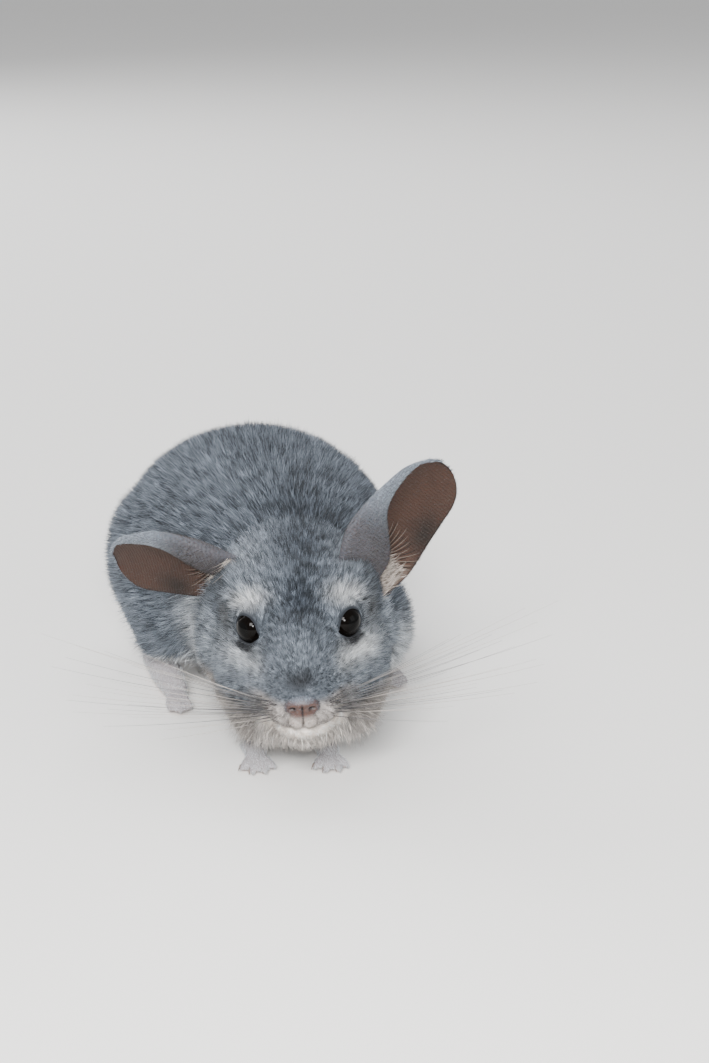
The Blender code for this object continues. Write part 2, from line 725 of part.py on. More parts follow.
def main():
    clear_scene()
    parts = new_collection("chinchilla")
    cutters = new_collection("cutters")
    place = head_matrix()
    grey_fur = finish("grey_fur", (0.19, 0.21, 0.24), 0.95)
    pale_fur = finish("pale_fur", (0.62, 0.60, 0.58), 0.95)
    bare_ear = finish("bare_ear", (0.20, 0.14, 0.125), 0.6)
    bare_nose = finish("bare_nose", (0.34, 0.19, 0.17), 0.5)
    black_eye = finish("black_eye", (0.006, 0.005, 0.006), 0.05)
    foot_fur = finish("foot_fur", (0.48, 0.45, 0.44), 0.9)
    tail_hair = finish("tail_hair", (0.12, 0.12, 0.13), 0.9)

    places = [ball_matrix(*ball) for ball in trunk_balls()]
    places += [place @ ball_matrix(*ball) for ball in head_balls()]
    body = fused("body", places, BODY_VOXEL, BODY_PASSES, cutters)
    pieces = part_body(body, cutters, parts)
    remove(body)
    head, neck, torso = (pieces[name] for name in ("head", "neck", "torso"))

    nose = nose_form(place, cutters, parts)
    for letter, side in SIDES:
        ring = lid_ring(side, place, cutters)
        boolean(head, "UNION", ring)
        remove(ring)
        eye = eyeball("eye_" + letter, side, place, parts)
        make_room(head, eye, cutters)
        eye.data.materials.append(black_eye)
    template = spike_template(3, 5)
    furrow = slab("philtrum", (0.5, 30.0, 30.0), place @ Matrix.Translation((0.0, -25.0, -22.0)), cutters)
    for letter, side in SIDES:
        pad = whisker_pad("whisker_pad_" + letter, side, place, parts)
        boolean(pad, "DIFFERENCE", furrow)
        make_room(head, pad, cutters)
        make_room(pad, nose, cutters)
        keep_largest(pad)
        grow_whiskers(pad, side, place, template)
        pad.data.materials.append(pale_fur)
    template.free()
    remove(furrow)
    make_room(head, nose, cutters)
    mouth = mouth_cutter(place, cutters)
    boolean(head, "DIFFERENCE", mouth)
    remove(mouth)

    root, brush = tail_forms(parts, cutters)
    make_room(torso, root, cutters)
    for letter, side in SIDES:
        arm, hand = forelimb(letter, side, parts)
        haunch, foot = hindlimb(letter, side, parts)
        make_room(torso, haunch, cutters)
        make_room(torso, foot, cutters)
        make_room(haunch, foot, cutters)
        make_room(arm, torso, cutters)
        make_room(arm, neck, cutters)
        make_room(arm, head, cutters)
        make_room(arm, hand, cutters)
        for limb in (arm, hand, haunch, foot):
            level_underside(limb, cutters)
            keep_largest(limb)
        haunch.data.materials.append(grey_fur)
        for limb in (arm, hand, foot):
            limb.data.materials.append(foot_fur)
        ear = ear_form("ear_" + letter, side, place, parts)
        for neighbour in (head, neck, torso):
            make_room(ear, neighbour, cutters)
        keep_largest(ear)
        ear.data.materials.append(bare_ear)
    for piece in (torso, brush):
        level_underside(piece, cutters)
    for piece in (head, neck, torso, root, brush):
        keep_largest(piece)
    for piece in (head, neck, torso, root):
        piece.data.materials.append(grey_fur)
    nose.data.materials.append(bare_nose)
    brush.data.materials.append(tail_hair)


main()
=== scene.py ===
"""The looks of a life-size crouching chinchilla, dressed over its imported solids.

The row frame is +Z up, with the animal facing -Y and its left towards +X. Named sizes are millimetres
unless a comment says otherwise, and MM turns them into metres. Places on the head are measured from the
point midway between the eyes, nose towards -Y.
"""

import math

import bpy
import numpy as np
from mathutils import Matrix, Vector
from mathutils.bvhtree import BVHTree
from mathutils.kdtree import KDTree


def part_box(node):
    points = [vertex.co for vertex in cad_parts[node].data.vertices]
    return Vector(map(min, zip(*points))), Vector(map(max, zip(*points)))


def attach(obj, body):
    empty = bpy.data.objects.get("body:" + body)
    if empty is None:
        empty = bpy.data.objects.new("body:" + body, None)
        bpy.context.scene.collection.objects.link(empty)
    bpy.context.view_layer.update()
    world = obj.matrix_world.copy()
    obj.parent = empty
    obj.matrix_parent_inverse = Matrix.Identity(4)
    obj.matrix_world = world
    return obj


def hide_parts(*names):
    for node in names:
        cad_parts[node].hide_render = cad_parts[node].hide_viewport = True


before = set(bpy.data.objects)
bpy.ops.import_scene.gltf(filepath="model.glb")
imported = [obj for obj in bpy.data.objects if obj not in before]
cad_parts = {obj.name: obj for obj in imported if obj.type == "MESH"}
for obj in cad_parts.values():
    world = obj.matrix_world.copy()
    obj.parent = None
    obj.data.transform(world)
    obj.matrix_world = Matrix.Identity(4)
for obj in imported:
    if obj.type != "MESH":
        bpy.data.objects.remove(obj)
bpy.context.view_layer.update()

MM = 0.001
SEED = 11
SIDES = (("L", 1.0), ("R", -1.0))
MAP_NAME = "OFBake"
PIECE_LIMIT = 192000

# The photograph's frame in pixels, its focal length in pixels, and how far down the camera looks, in degrees
PHOTO_SIZE = (709.0, 1063.0)
PHOTO_FOCAL = 2057.0
PHOTO_PITCH = 18.5
PHOTO_EYES = (298.5, 624.0)
CAMERA_DISTANCE = 710.0
SENSOR = 36.0

# The head's turn, pitch and roll in degrees, and its landmarks
HEAD_TURN = (-15.0, 5.0, -3.4)
EYE_CENTRE = (15.0, 1.5, -0.5)
EYE_RADIUS = 6.4
CORNEA_SHIFT = 1.2
CORNEA_RADIUS = 5.75
EYE_LOOK = (0.690, -0.700, 0.12)
LID_OPENING = 51.0
NOSE_TIP = (0.0, -31.0, -15.5)
WHISKER_PAD = (((6.2, -23.0, -20.4), (6.9, 7.6, 6.2)), ((9.5, -17.5, -20.0), (5.8, 8.0, 6.0)))
MOUTH_LEVEL = -26.8
MOUTH_HALF_WIDTH = 15.0
CREASE = ((0.5, 15.2, 19.2), (11.9, 8.1, 14.1), (21.0, 7.1, 9.7), (25.2, 8.0, 3.6))

# The flesh that one skin replaces, and how deep the coat stands on it
FLESH = ("head", "neck", "torso", "haunch_L", "haunch_R", "foreleg_L", "foreleg_R", "tail_root")
COAT_DEPTH = {
    "head": 2.5, "neck": 4.4, "torso": 5.0, "haunch_L": 4.8, "haunch_R": 4.8,
    "foreleg_L": 2.4, "foreleg_R": 2.4, "tail_root": 2.4, "tail_core": 0.4,
}
NOSE_COAT = 0.8
SWELL = 0.35
ROUGH_VOXEL = 1.4
SKIN_VOXEL = 1.2
PAW_VOXEL = 0.55

# The tail's middle line, from inside the rump to the tip, where its brush starts, and its hair
TAIL_LINE = (
    (0.0, 60.0, 34.0), (1.0, 79.0, 25.0), (4.0, 98.0, 18.5), (10.0, 116.0, 17.0),
    (19.0, 133.0, 17.0), (31.0, 149.0, 17.0), (45.0, 162.0, 17.5), (60.0, 172.0, 18.5),
)
BRUSH_START = 0.20
TAIL_HAIR_START = 0.07
TAIL_HAIRS = 7000
TAIL_HAIR_LENGTH = 28.0
TAIL_CORE_RADIUS = 5.0

# Whisker rows from top to bottom: height of the root and lift in degrees, and lengths from front to back
WHISKER_ROWS = ((-16.6, 24.0), (-19.2, 6.0), (-22.0, -12.0))
WHISKER_LENGTHS = (62.0, 76.0, 84.0)
WHISKER_STRETCH = (0.80, 0.64, 0.92, 0.72, 1.0)
WHISKERS_UP = 6
WHISKERS_BACK = 4

# The ears: size, place, lie and outline. Each quarter of the length has how far its middle line lies to
# the rear, its half width, and how far back the free edge of the folded front margin reaches. The right
# ear, laid out to the side, has a narrower foot that goes under the fur
EAR_LENGTH = 53.0
EAR_ROOT = {"L": (23.5, 28.0, 5.0), "R": (23.5, 28.0, 11.0)}
EAR_AXIS = (0.66, 0.30, 0.70)
EAR_HOLLOW = (0.62, -0.78, 0.05)
EAR_SPLAY = {"L": 0.0, "R": 50.0}
EAR_UPPER = ((-1.5, 17.4, -8.8), (2.2, 15.4, -9.6), (7.0, 13.5, -4.0))
EAR_QUARTERS = {
    "L": ((-1.0, 13.0, 5.0), (-3.2, 18.0, 4.0), *EAR_UPPER),
    "R": ((4.0, 7.0, 5.0), (-0.6, 15.4, 3.0), *EAR_UPPER),
}
EAR_TIP_START = 0.75
EAR_SINK = 4.0
FOLD_CENTRE = (8.5, 3.5)
EAR_WALL = 0.45

# Colours of the coat and the bare parts, as linear red, green and blue
SOOT = (0.012, 0.013, 0.016)
SLATE = (0.052, 0.063, 0.082)
GREY = (0.125, 0.148, 0.184)
SILVER = (0.300, 0.345, 0.405)
PALE = (0.520, 0.575, 0.640)
CREAM = (0.560, 0.500, 0.450)
WHITE = (0.790, 0.800, 0.805)
EAR_SKIN = (0.040, 0.0205, 0.0145)
EAR_DARK = (0.007, 0.005, 0.004)
NOSE_SKIN = (0.066, 0.031, 0.024)
# Painted shade for the nose's furrow and nostrils
NOSE_HOLLOW_SHADE = (0.012, 0.006, 0.005)
PAW_SKIN = (0.400, 0.290, 0.260)
CLAW_HORN = (0.160, 0.125, 0.105)
MUZZLE = (0.560, 0.505, 0.470)
MUZZLE_TOP = (0.036, 0.036, 0.039)
# JOWL is the jowls' fur darkened and warmed as painted shade; the ears borrow it as a warm tone
JOWL = (0.200, 0.165, 0.140)
LIP = (0.840, 0.760, 0.690)
OLIVE = (0.105, 0.092, 0.070)
EAR_FUZZ = (0.085, 0.074, 0.072)
IRIS = (0.0020, 0.0013, 0.0010)

rng = np.random.default_rng(SEED)


# Small helpers

def select_only(*things):
    bpy.ops.object.select_all(action="DESELECT")
    for thing in things:
        thing.select_set(True)
    bpy.context.view_layer.objects.active = things[0]


def apply_modifier(thing, kind, **settings):
    """Adds a modifier with these settings and applies it."""
    modifier = thing.modifiers.new(kind.title(), kind)
    for name, value in settings.items():
        setattr(modifier, name, value)
    select_only(thing)
    bpy.ops.object.modifier_apply(modifier=modifier.name)


def edit_all(thing, operator, **settings):
    """Runs one edit-mode operator on all of a mesh."""
    select_only(thing)
    bpy.ops.object.mode_set(mode="EDIT")
    bpy.ops.mesh.select_all(action="SELECT")
    operator(**settings)
    bpy.ops.object.mode_set(mode="OBJECT")


def settle(thing):
    """Puts the object's place, turn and size into its mesh."""
    select_only(thing)
    bpy.ops.object.transform_apply(location=True, rotation=True, scale=True)


def join(name, things):
    select_only(*things)
    if len(things) > 1:
        bpy.ops.object.join()
    made = bpy.context.view_layer.objects.active
    made.name = name
    made.data.name = name
    return made


def points_of(thing):
    """The mesh's points, in millimetres."""
    flat = np.zeros(len(thing.data.vertices) * 3)
    thing.data.vertices.foreach_get("co", flat)
    return flat.reshape(-1, 3) / MM


def move_points(thing, points):
    thing.data.vertices.foreach_set("co", (points * MM).astype(np.float32).ravel())
    thing.data.update()


def normals_of(thing):
    flat = np.zeros(len(thing.data.vertices) * 3)
    thing.data.vertex_normals.foreach_get("vector", flat)
    return flat.reshape(-1, 3)


def edges_of(thing):
    flat = np.zeros(len(thing.data.edges) * 2, np.int64)
    thing.data.edges.foreach_get("vertices", flat)
    return flat.reshape(-1, 2)


def unit(vectors):
    """Vectors scaled to length 1, along the last axis."""
    length = np.linalg.norm(vectors, axis=-1, keepdims=True)
    return vectors / np.maximum(length, 1e-9)


def ease(low, high, values):
    """0 at low and beyond, 1 at high and beyond, smooth between."""
    share = np.clip((values - low) / (high - low), 0.0, 1.0)
    return share * share * (3.0 - 2.0 * share)


def blend(first, second, share):
    """Mixes two colours or directions by a share for each row."""
    share = np.asarray(share)[..., None]
    return np.asarray(first) * (1.0 - share) + np.asarray(second) * share


def mix(first, second, share):
    """Mixes two lengths or other single values by a share for each row."""
    return first * (1.0 - share) + second * share


def smooth_through(stations, shares):
    """Points on the smooth line through the stations, for an array of shares from 0 to 1."""
    rows = np.array(stations)
    place = np.clip(shares, 0.0, 1.0) * (len(rows) - 1)
    i = np.minimum(place.astype(int), len(rows) - 2)
    t = (place - i)[:, None]
    before, a = rows[np.maximum(i - 1, 0)], rows[i]
    b, after = rows[i + 1], rows[np.minimum(i + 2, len(rows) - 1)]
    return 0.5 * (
        2.0 * a + (b - before) * t + (2.0 * before - 5.0 * a + 4.0 * b - after) * t**2
        + (3.0 * a - before - 3.0 * b + after) * t**3
    )


def spread(values, edges, rounds):
    """Evens out values given at a mesh's points over their neighbours."""
    size = len(values)
    count = np.maximum(np.bincount(edges.ravel(), minlength=size), 1)
    for _ in range(rounds):
        total = np.bincount(edges[:, 0], values[edges[:, 1]], size)
        total += np.bincount(edges[:, 1], values[edges[:, 0]], size)
        values = 0.5 * values + 0.5 * total / count
    return values


def spread_rows(values, edges, rounds):
    columns = [spread(values[:, i], edges, rounds) for i in range(values.shape[1])]
    return np.stack(columns, axis=1)


def add_ball(centre, radii, turn=None, segments=32):
    """An ellipsoid from a sphere primitive. turn is the matrix of its frame, in millimetres."""
    bpy.ops.object.select_all(action="DESELECT")
    bpy.ops.mesh.primitive_uv_sphere_add(segments=segments, ring_count=segments // 2, radius=MM)
    ball = bpy.context.active_object
    place = (turn or Matrix.Identity(4)) @ Matrix.Translation(Vector(centre))
    place.translation *= MM
    ball.matrix_world = place @ Matrix.Diagonal((*radii, 1.0))
    settle(ball)
    return ball


def refine(thing, chosen, cuts=1):
    """Divides the chosen faces of a mesh into finer ones."""
    select_only(thing)
    bpy.ops.object.mode_set(mode="EDIT")
    bpy.ops.mesh.select_mode(type="FACE")
    bpy.ops.mesh.select_all(action="DESELECT")
    bpy.ops.object.mode_set(mode="OBJECT")
    thing.data.polygons.foreach_set("select", chosen)
    bpy.ops.object.mode_set(mode="EDIT")
    bpy.ops.mesh.subdivide(number_cuts=cuts)
    bpy.ops.mesh.select_all(action="SELECT")
    bpy.ops.mesh.quads_convert_to_tris()
    bpy.ops.mesh.select_mode(type="VERT")
    bpy.ops.object.mode_set(mode="OBJECT")


def face_centres(thing):
    flat = np.zeros(len(thing.data.polygons) * 3)
    thing.data.polygons.foreach_get("center", flat)
    return flat.reshape(-1, 3) / MM


def wander(points, size):
    """A gentle swing over the body, from -1 to 1, with swirls of about this size."""
    x, y, z = (points / size).T
    first = np.sin(1.7 * x + 0.8 * np.sin(1.3 * y)) * np.cos(1.9 * y + 0.9 * np.sin(1.1 * z))
    return (first + 0.6 * np.sin(2.9 * z + 1.3 * x + 0.7 * np.sin(2.3 * y))) / 1.6


# The head's own frame

def head_place():
    """The matrix from the head's frame to the row frame in millimetres, and the eyes' middles."""
    middles = []
    for letter, _ in SIDES:
        low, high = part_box("eye_" + letter)
        middles.append((Vector(low) + Vector(high)) / 2.0 / MM)
    turn, pitch, roll = (math.radians(angle) for angle in HEAD_TURN)
    matrix = (
        Matrix.Rotation(turn, 4, "Z") @ Matrix.Rotation(pitch, 4, "X") @ Matrix.Rotation(roll, 4, "Y")
    )
    between = Vector((0.0, *EYE_CENTRE[1:]))
    midpoint = (middles[0] + middles[1]) / 2.0 - matrix.to_3x3() @ between
    return Matrix.Translation(midpoint) @ matrix, middles


HEAD, EYE_MIDDLES = head_place()
HEAD_BACK = np.array(HEAD.inverted())
HEAD_OUT = np.array(HEAD)


def in_head(points):
    """Row-frame points in the head's frame."""
    return points @ HEAD_BACK[:3, :3].T + HEAD_BACK[:3, 3]


def from_head(points):
    return np.asarray(points) @ HEAD_OUT[:3, :3].T + HEAD_OUT[:3, 3]


def head_way(directions):
    """Directions of the head's frame, in the row frame."""
    return np.asarray(directions) @ HEAD_OUT[:3, :3].T


def eye_frame(side):
    """Directions of an eye in the row frame: the way it looks, towards its front corner, and up."""
    look = unit(head_way((EYE_LOOK[0] * side, EYE_LOOK[1], EYE_LOOK[2])))
    forward = head_way((0.0, -1.0, -0.12))
    forward = unit(forward - look * forward.dot(look))
    up = np.cross(forward, look) * side
    return look, forward, up


# Materials

def material(name, roughness, colour=None, sheen=0.0, specular=0.5, coat=0.0, subsurface=0.0):
    """A Principled finish whose colour is plain or comes from the piece's own painted attribute."""
    made = bpy.data.materials.new(name)
    made.use_nodes = True
    nodes = made.node_tree.nodes
    surface = nodes["Principled BSDF"]
    surface.inputs["Roughness"].default_value = roughness
    surface.inputs["Specular IOR Level"].default_value = specular
    surface.inputs["Sheen Weight"].default_value = sheen
    surface.inputs["Sheen Roughness"].default_value = 0.5
    surface.inputs["Coat Weight"].default_value = coat
    surface.inputs["Coat Roughness"].default_value = 0.03
    surface.inputs["Subsurface Weight"].default_value = subsurface
    surface.inputs["Subsurface Radius"].default_value = (2.0, 0.8, 0.5)
    surface.inputs["Subsurface Scale"].default_value = MM
    if colour:
        surface.inputs["Base Color"].default_value = (*colour, 1.0)
    else:
        reader = nodes.new("ShaderNodeAttribute")
        reader.attribute_name = "coat"
        made.node_tree.links.new(reader.outputs["Color"], surface.inputs["Base Color"])
    return made


def add_bump(made, scale, height, detail=3.0):
    """A fine noise bump on the material, with this many grains a metre."""
    nodes = made.node_tree.nodes
    links = made.node_tree.links
    place = nodes.new("ShaderNodeTexCoord")
    grain = nodes.new("ShaderNodeTexNoise")
    grain.inputs["Scale"].default_value = scale
    grain.inputs["Detail"].default_value = detail
    bump = nodes.new("ShaderNodeBump")
    bump.inputs["Strength"].default_value = 0.6
    bump.inputs["Distance"].default_value = height * MM
    links.new(place.outputs["Object"], grain.inputs["Vector"])
    links.new(grain.outputs["Fac"], bump.inputs["Height"])
    links.new(bump.outputs["Normal"], nodes["Principled BSDF"].inputs["Normal"])
    return made


def add_wrinkles(made, bands, height):
    """Fine wrinkles across the piece along its own map, over the bump that the material has."""
    nodes = made.node_tree.nodes
    links = made.node_tree.links
    place = nodes.new("ShaderNodeUVMap")
    place.uv_map = MAP_NAME
    wave = nodes.new("ShaderNodeTexWave")
    wave.bands_direction = "Y"
    wave.inputs["Scale"].default_value = bands
    wave.inputs["Distortion"].default_value = 5.0
    wave.inputs["Detail"].default_value = 3.0
    wave.inputs["Detail Scale"].default_value = 2.0
    bump = nodes.new("ShaderNodeBump")
    bump.inputs["Strength"].default_value = 0.7
    bump.inputs["Distance"].default_value = height * MM
    links.new(place.outputs["UV"], wave.inputs["Vector"])
    links.new(wave.outputs["Fac"], bump.inputs["Height"])
    links.new(nodes["Bump"].outputs["Normal"], bump.inputs["Normal"])
    links.new(bump.outputs["Normal"], nodes["Principled BSDF"].inputs["Normal"])
    return made


def paint(thing, colours):
    """Writes a colour for each point of the mesh into its attribute."""
    layer = thing.data.color_attributes.new("coat", "FLOAT_COLOR", "POINT")
    rows = np.ones((len(colours), 4), np.float32)
    rows[:, :3] = colours
    layer.data.foreach_set("color", rows.ravel())


def wear(thing, finish, slot, *replaced):
    """Gives a piece its finish and its place on the still body, and hides what it replaces. slot is not used."""
    thing.data.materials.clear()
    thing.data.materials.append(finish)
    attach(thing, "root")
    if replaced:
        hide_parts(*replaced)


# Stage

def make_stage():
    """A pale floor, soft lights, and the camera at the photograph's angle and framing."""
    bpy.ops.object.select_all(action="DESELECT")
    bpy.ops.mesh.primitive_plane_add(size=12.0, location=(0.0, 0.0, 0.0))
    floor = bpy.context.active_object
    floor.name = "floor"
    settle(floor)
    paint_finish = add_bump(material("floor_paint", 0.9, (0.86, 0.85, 0.83), specular=0.1), 900.0, 0.05)
    floor.data.materials.append(paint_finish)

    world = bpy.data.worlds.new("studio")
    world.use_nodes = True
    sky = world.node_tree.nodes["Background"]
    sky.inputs["Color"].default_value = (0.97, 0.98, 1.0, 1.0)
    sky.inputs["Strength"].default_value = 0.62
    bpy.context.scene.world = world

    soft_light("key", (-0.50, -0.95, 0.85), 0.42, 21.0, (1.0, 0.99, 0.975))
    soft_light("eye_light", (-0.18, -0.76, 0.40), 0.13, 5.5, (1.0, 1.0, 0.99))
    soft_light("fill", (0.85, -0.80, 0.60), 0.70, 2.5, (1.0, 0.99, 0.98))
    soft_light("top", (0.20, 0.95, 1.60), 1.40, 22.0, (0.99, 0.99, 1.0))
    soft_light("back", (-0.70, 1.60, 0.90), 1.20, 22.0, (0.99, 0.99, 1.0))

    pitch = math.radians(PHOTO_PITCH)
    across = (PHOTO_EYES[0] - PHOTO_SIZE[0] / 2.0) / PHOTO_FOCAL
    down = (PHOTO_EYES[1] - PHOTO_SIZE[1] / 2.0) / PHOTO_FOCAL
    swing = math.radians(HEAD_TURN[0]) + math.atan(across / math.cos(pitch))
    turn = Matrix.Rotation(swing, 3, "Z") @ Matrix.Rotation(math.radians(90.0) - pitch, 3, "X")
    view = (turn @ Vector((across, -down, -1.0))).normalized()
    lens = bpy.data.cameras.new("camera")
    lens.sensor_width = SENSOR
    lens.lens = PHOTO_FOCAL * SENSOR / PHOTO_SIZE[1]
    lens.clip_start = 0.01
    camera = bpy.data.objects.new("camera", lens)
    bpy.context.scene.collection.objects.link(camera)
    camera.location = (HEAD.translation - view * CAMERA_DISTANCE) * MM
    camera.rotation_euler = turn.to_euler()
    bpy.context.scene.camera = camera


def soft_light(name, place, size, power, colour):
    """A square soft box that faces the animal. place and size are metres, power is watts."""
    lamp = bpy.data.lights.new(name, "AREA")
    lamp.size = size
    lamp.energy = power
    lamp.color = colour
    stand = bpy.data.objects.new(name, lamp)
    bpy.context.scene.collection.objects.link(stand)
    stand.location = place
    aim = Vector((0.0, -0.05, 0.04)) - Vector(place)
    stand.rotation_euler = aim.to_track_quat("-Z", "Y").to_euler()


# Skin

def node_copy(name, swell=SWELL):
    """A welded copy of a node of the solids, swollen a little so that it overlaps its neighbours."""
    copy = bpy.data.objects.new("copy_" + name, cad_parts[name].data.copy())
    bpy.context.scene.collection.objects.link(copy)
    edit_all(copy, bpy.ops.mesh.remove_doubles, threshold=0.01 * MM)
    if copy.data.has_custom_normals:
        bpy.ops.mesh.customdata_custom_splitnormals_clear()
    if swell:
        apply_modifier(copy, "DISPLACE", strength=swell * MM, mid_level=0.0)
    return copy


def tail_core():
    """A tapered tube along the tail, which the coarse hair grows from."""
    shares = np.linspace(0.0, 1.0, 24)
    data = bpy.data.curves.new("tail_core", "CURVE")
    data.dimensions = "3D"
    data.bevel_depth = MM
    data.bevel_resolution = 6
    data.use_fill_caps = True
    spline = data.splines.new("POLY")
    spline.points.add(len(shares) - 1)
    for point, place, share in zip(spline.points, smooth_through(TAIL_LINE, shares), shares):
        point.co = (*(place * MM), 1.0)
        point.radius = TAIL_CORE_RADIUS + 0.4 - 2.6 * share
    core = bpy.data.objects.new("tail_core", data)
    bpy.context.scene.collection.objects.link(core)
    select_only(core)
    bpy.ops.object.convert(target="MESH")
    core = bpy.context.active_object
    edit_all(core, bpy.ops.mesh.remove_doubles, threshold=0.01 * MM)
    edit_all(core, bpy.ops.mesh.normals_make_consistent, inside=False)
    return core


def flesh_regions():
    """A search tree over the flesh of the solids, and the node that owns each of its faces."""
    corners, faces, owners = [], [], []
    for name in FLESH:
        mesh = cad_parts[name].data
        start = len(corners)
        corners.extend(vert.co / MM for vert in mesh.vertices)
        faces.extend([start + i for i in face.vertices] for face in mesh.polygons)
        owners.extend([name] * len(mesh.polygons))
    return BVHTree.FromPolygons(corners, faces), owners


FLESH_TREE, FLESH_OWNERS = flesh_regions()


def tail_share(points):
    """How far along the tail each point lies, and how far from its middle line."""
    shares = np.linspace(0.0, 1.0, 60)
    line = smooth_through(TAIL_LINE, shares)
    away = np.linalg.norm(points[:, None, :] - line[None, :, :], axis=2)
    nearest = away.argmin(axis=1)
    return shares[nearest], away[np.arange(len(points)), nearest]


def region_names(points):
    """The node of the flesh that each point of the skin lies under."""
    share, away = tail_share(points)
    on_core = (share > BRUSH_START + 0.03) & (away < 9.0)
    owners = [FLESH_OWNERS[FLESH_TREE.find_nearest(Vector(point))[2]] for point in points]
    return np.where(on_core, "tail_core", np.array(owners))


def by_region(names, table):
    return np.array([table[name] for name in names], float)


def belongs(names, start):
    """1 where the region's name starts with these words, otherwise 0."""
    return np.char.startswith(names, start).astype(float)


def lid_shell(middle, side):
    """A smooth ring of lids round an eye, open in front, with corners at its front and rear."""
    look, forward, up = eye_frame(side)
    around = np.linspace(0.0, 2.0 * math.pi, 84, endpoint=False)
    front = np.exp(-(np.minimum(around, 2.0 * math.pi - around) / 0.30) ** 2)
    rear = np.exp(-((around - math.pi) / 0.34) ** 2)
    opening = LID_OPENING + 8.0 * front + 6.0 * rear - 3.0 * np.clip(np.sin(around), 0.0, 1.0)
    profile = (
        (40.0, 0.05), (14.0, 0.05), (3.0, 0.06), (0.0, 0.12), (-0.8, 0.24), (0.4, 0.38), (4.0, 0.52),
        (10.0, 0.74), (20.0, 0.95), (34.0, 1.0), (50.0, 0.5),
    )
    rings = []
    for past, lift in profile:
        angle = np.radians(opening + past)[:, None]
        rim = forward * np.cos(around)[:, None] + up * np.sin(around)[:, None]
        way = look * np.cos(angle) + rim * np.sin(angle)
        rings.append(np.array(middle) + way * (EYE_RADIUS + lift))
    size = len(around)
    faces = []
    for ring in range(len(profile)):
        following = (ring + 1) % len(profile)
        for column in range(size):
            after = (column + 1) % size
            a, b = ring * size + column, ring * size + after
            c, d = following * size + after, following * size + column
            faces += [(a, b, c), (a, c, d)]
    mesh = bpy.data.meshes.new("lids")
    mesh.from_pydata((np.concatenate(rings) * MM).tolist(), [], faces)
    shell = bpy.data.objects.new("lids", mesh)
    bpy.context.scene.collection.objects.link(shell)
    edit_all(shell, bpy.ops.mesh.normals_make_consistent, inside=False)
    return shell


def make_skin():
    """One skin over all the flesh, inside the solids by the depth of the coat, with the lids on it."""
    parts = [node_copy(name) for name in FLESH]
    parts.append(node_copy("nose"))
    parts.append(tail_core())
    for middle in EYE_MIDDLES:
        parts.append(add_ball(middle, (EYE_RADIUS - 0.9,) * 3))
    for _, side in SIDES:
        for centre, radii in WHISKER_PAD:
            parts.append(add_ball((centre[0] * side, *centre[1:]), radii, HEAD))
    skin = join("skin", parts)
    apply_modifier(skin, "REMESH", mode="VOXEL", voxel_size=ROUGH_VOXEL * MM)
    apply_modifier(skin, "SMOOTH", iterations=3)
    points = points_of(skin)
    names = region_names(points)
    depth = by_region(names, COAT_DEPTH)
    from_nose = np.linalg.norm(in_head(points) - np.array(NOSE_TIP), axis=1)
    face = NOSE_COAT + (COAT_DEPTH["head"] - NOSE_COAT) * ease(8.0, 45.0, from_nose)
    depth = np.where(names == "head", face, depth)
    depth = spread(depth + SWELL, edges_of(skin), 40)
    move_points(skin, points - normals_of(skin) * depth[:, None])
    apply_modifier(skin, "REMESH", mode="VOXEL", voxel_size=SKIN_VOXEL * MM)
    apply_modifier(skin, "SMOOTH", iterations=2)
    edit_all(skin, bpy.ops.mesh.quads_convert_to_tris)
    local = in_head(face_centres(skin))
    muzzle = (local[:, 1] < -8.0) & (np.abs(local[:, 0]) < 19.0) & (local[:, 2] < -10.0) & (local[:, 2] > -34.0)
    refine(skin, muzzle)
    apply_modifier(skin, "SMOOTH", iterations=1)
    carve_face(skin)
    lids = [lid_shell(middle, side) for middle, (_, side) in zip(EYE_MIDDLES, SIDES)]
    skin = join("skin", [skin, *lids])
    skin.data.shade_smooth()
    return skin


def mouth_height(local):
    """How far above the line of the mouth each point of the head lies."""
    return local[:, 2] - (MOUTH_LEVEL + 0.0045 * local[:, 0] ** 2)


def crease_nearness(local):
    """1 on the crease of the coat that runs from the crown down to the left ear, 0 away from it."""
    line = smooth_through(CREASE, np.linspace(0.0, 1.0, 40))
    away = np.linalg.norm(local[:, None, :] - line[None, :, :], axis=2).min(axis=1)
    return np.exp(-(away / 1.6) ** 2)


def carve_face(skin):
    """Sinks the line of the mouth, the furrow up to the nose and the crease on the crown."""
    points = points_of(skin)
    local = in_head(points)
    front = (local[:, 1] < -6.0).astype(float)
    mouth = np.exp(-(mouth_height(local) / 0.65) ** 2) * front
    mouth *= ease(MOUTH_HALF_WIDTH, MOUTH_HALF_WIDTH - 5.0, np.abs(local[:, 0]))
    furrow = np.exp(-(local[:, 0] / 0.6) ** 2) * front * (local[:, 2] < -18.0) * (mouth_height(local) > 0.0)
    lip = np.exp(-((mouth_height(local) + 2.4) / 1.5) ** 2) * front
    lip *= ease(13.0, 5.0, np.abs(local[:, 0]))
    nose_bed = patch(local, (0.0, -30.5, -17.2), (5.2, 6.0, 4.4))
    sink = np.maximum(2.0 * mouth, 0.9 * furrow) - 0.5 * lip + 1.7 * crease_nearness(local) + 3.2 * nose_bed
    move_points(skin, points - normals_of(skin) * sink[:, None])


def unwrap(thing, angle=70.0):
    edit_all(thing, bpy.ops.uv.smart_project, angle_limit=math.radians(angle), island_margin=0.002)
    thing.data.uv_layers.active.name = MAP_NAME


# Markings

def patch(local, centre, radii):
    """A soft-edged patch on the head, 1 in its middle."""
    away = (local - np.array(centre)) / np.array(radii)
    return np.exp(-(away**2).sum(axis=1))


def pair(local, centre, radii):
    """The same patch on both sides of the head."""
    return patch(local * np.array((1.0, 1.0, 1.0)), centre, radii) + patch(
        local * np.array((-1.0, 1.0, 1.0)), centre, radii
    )


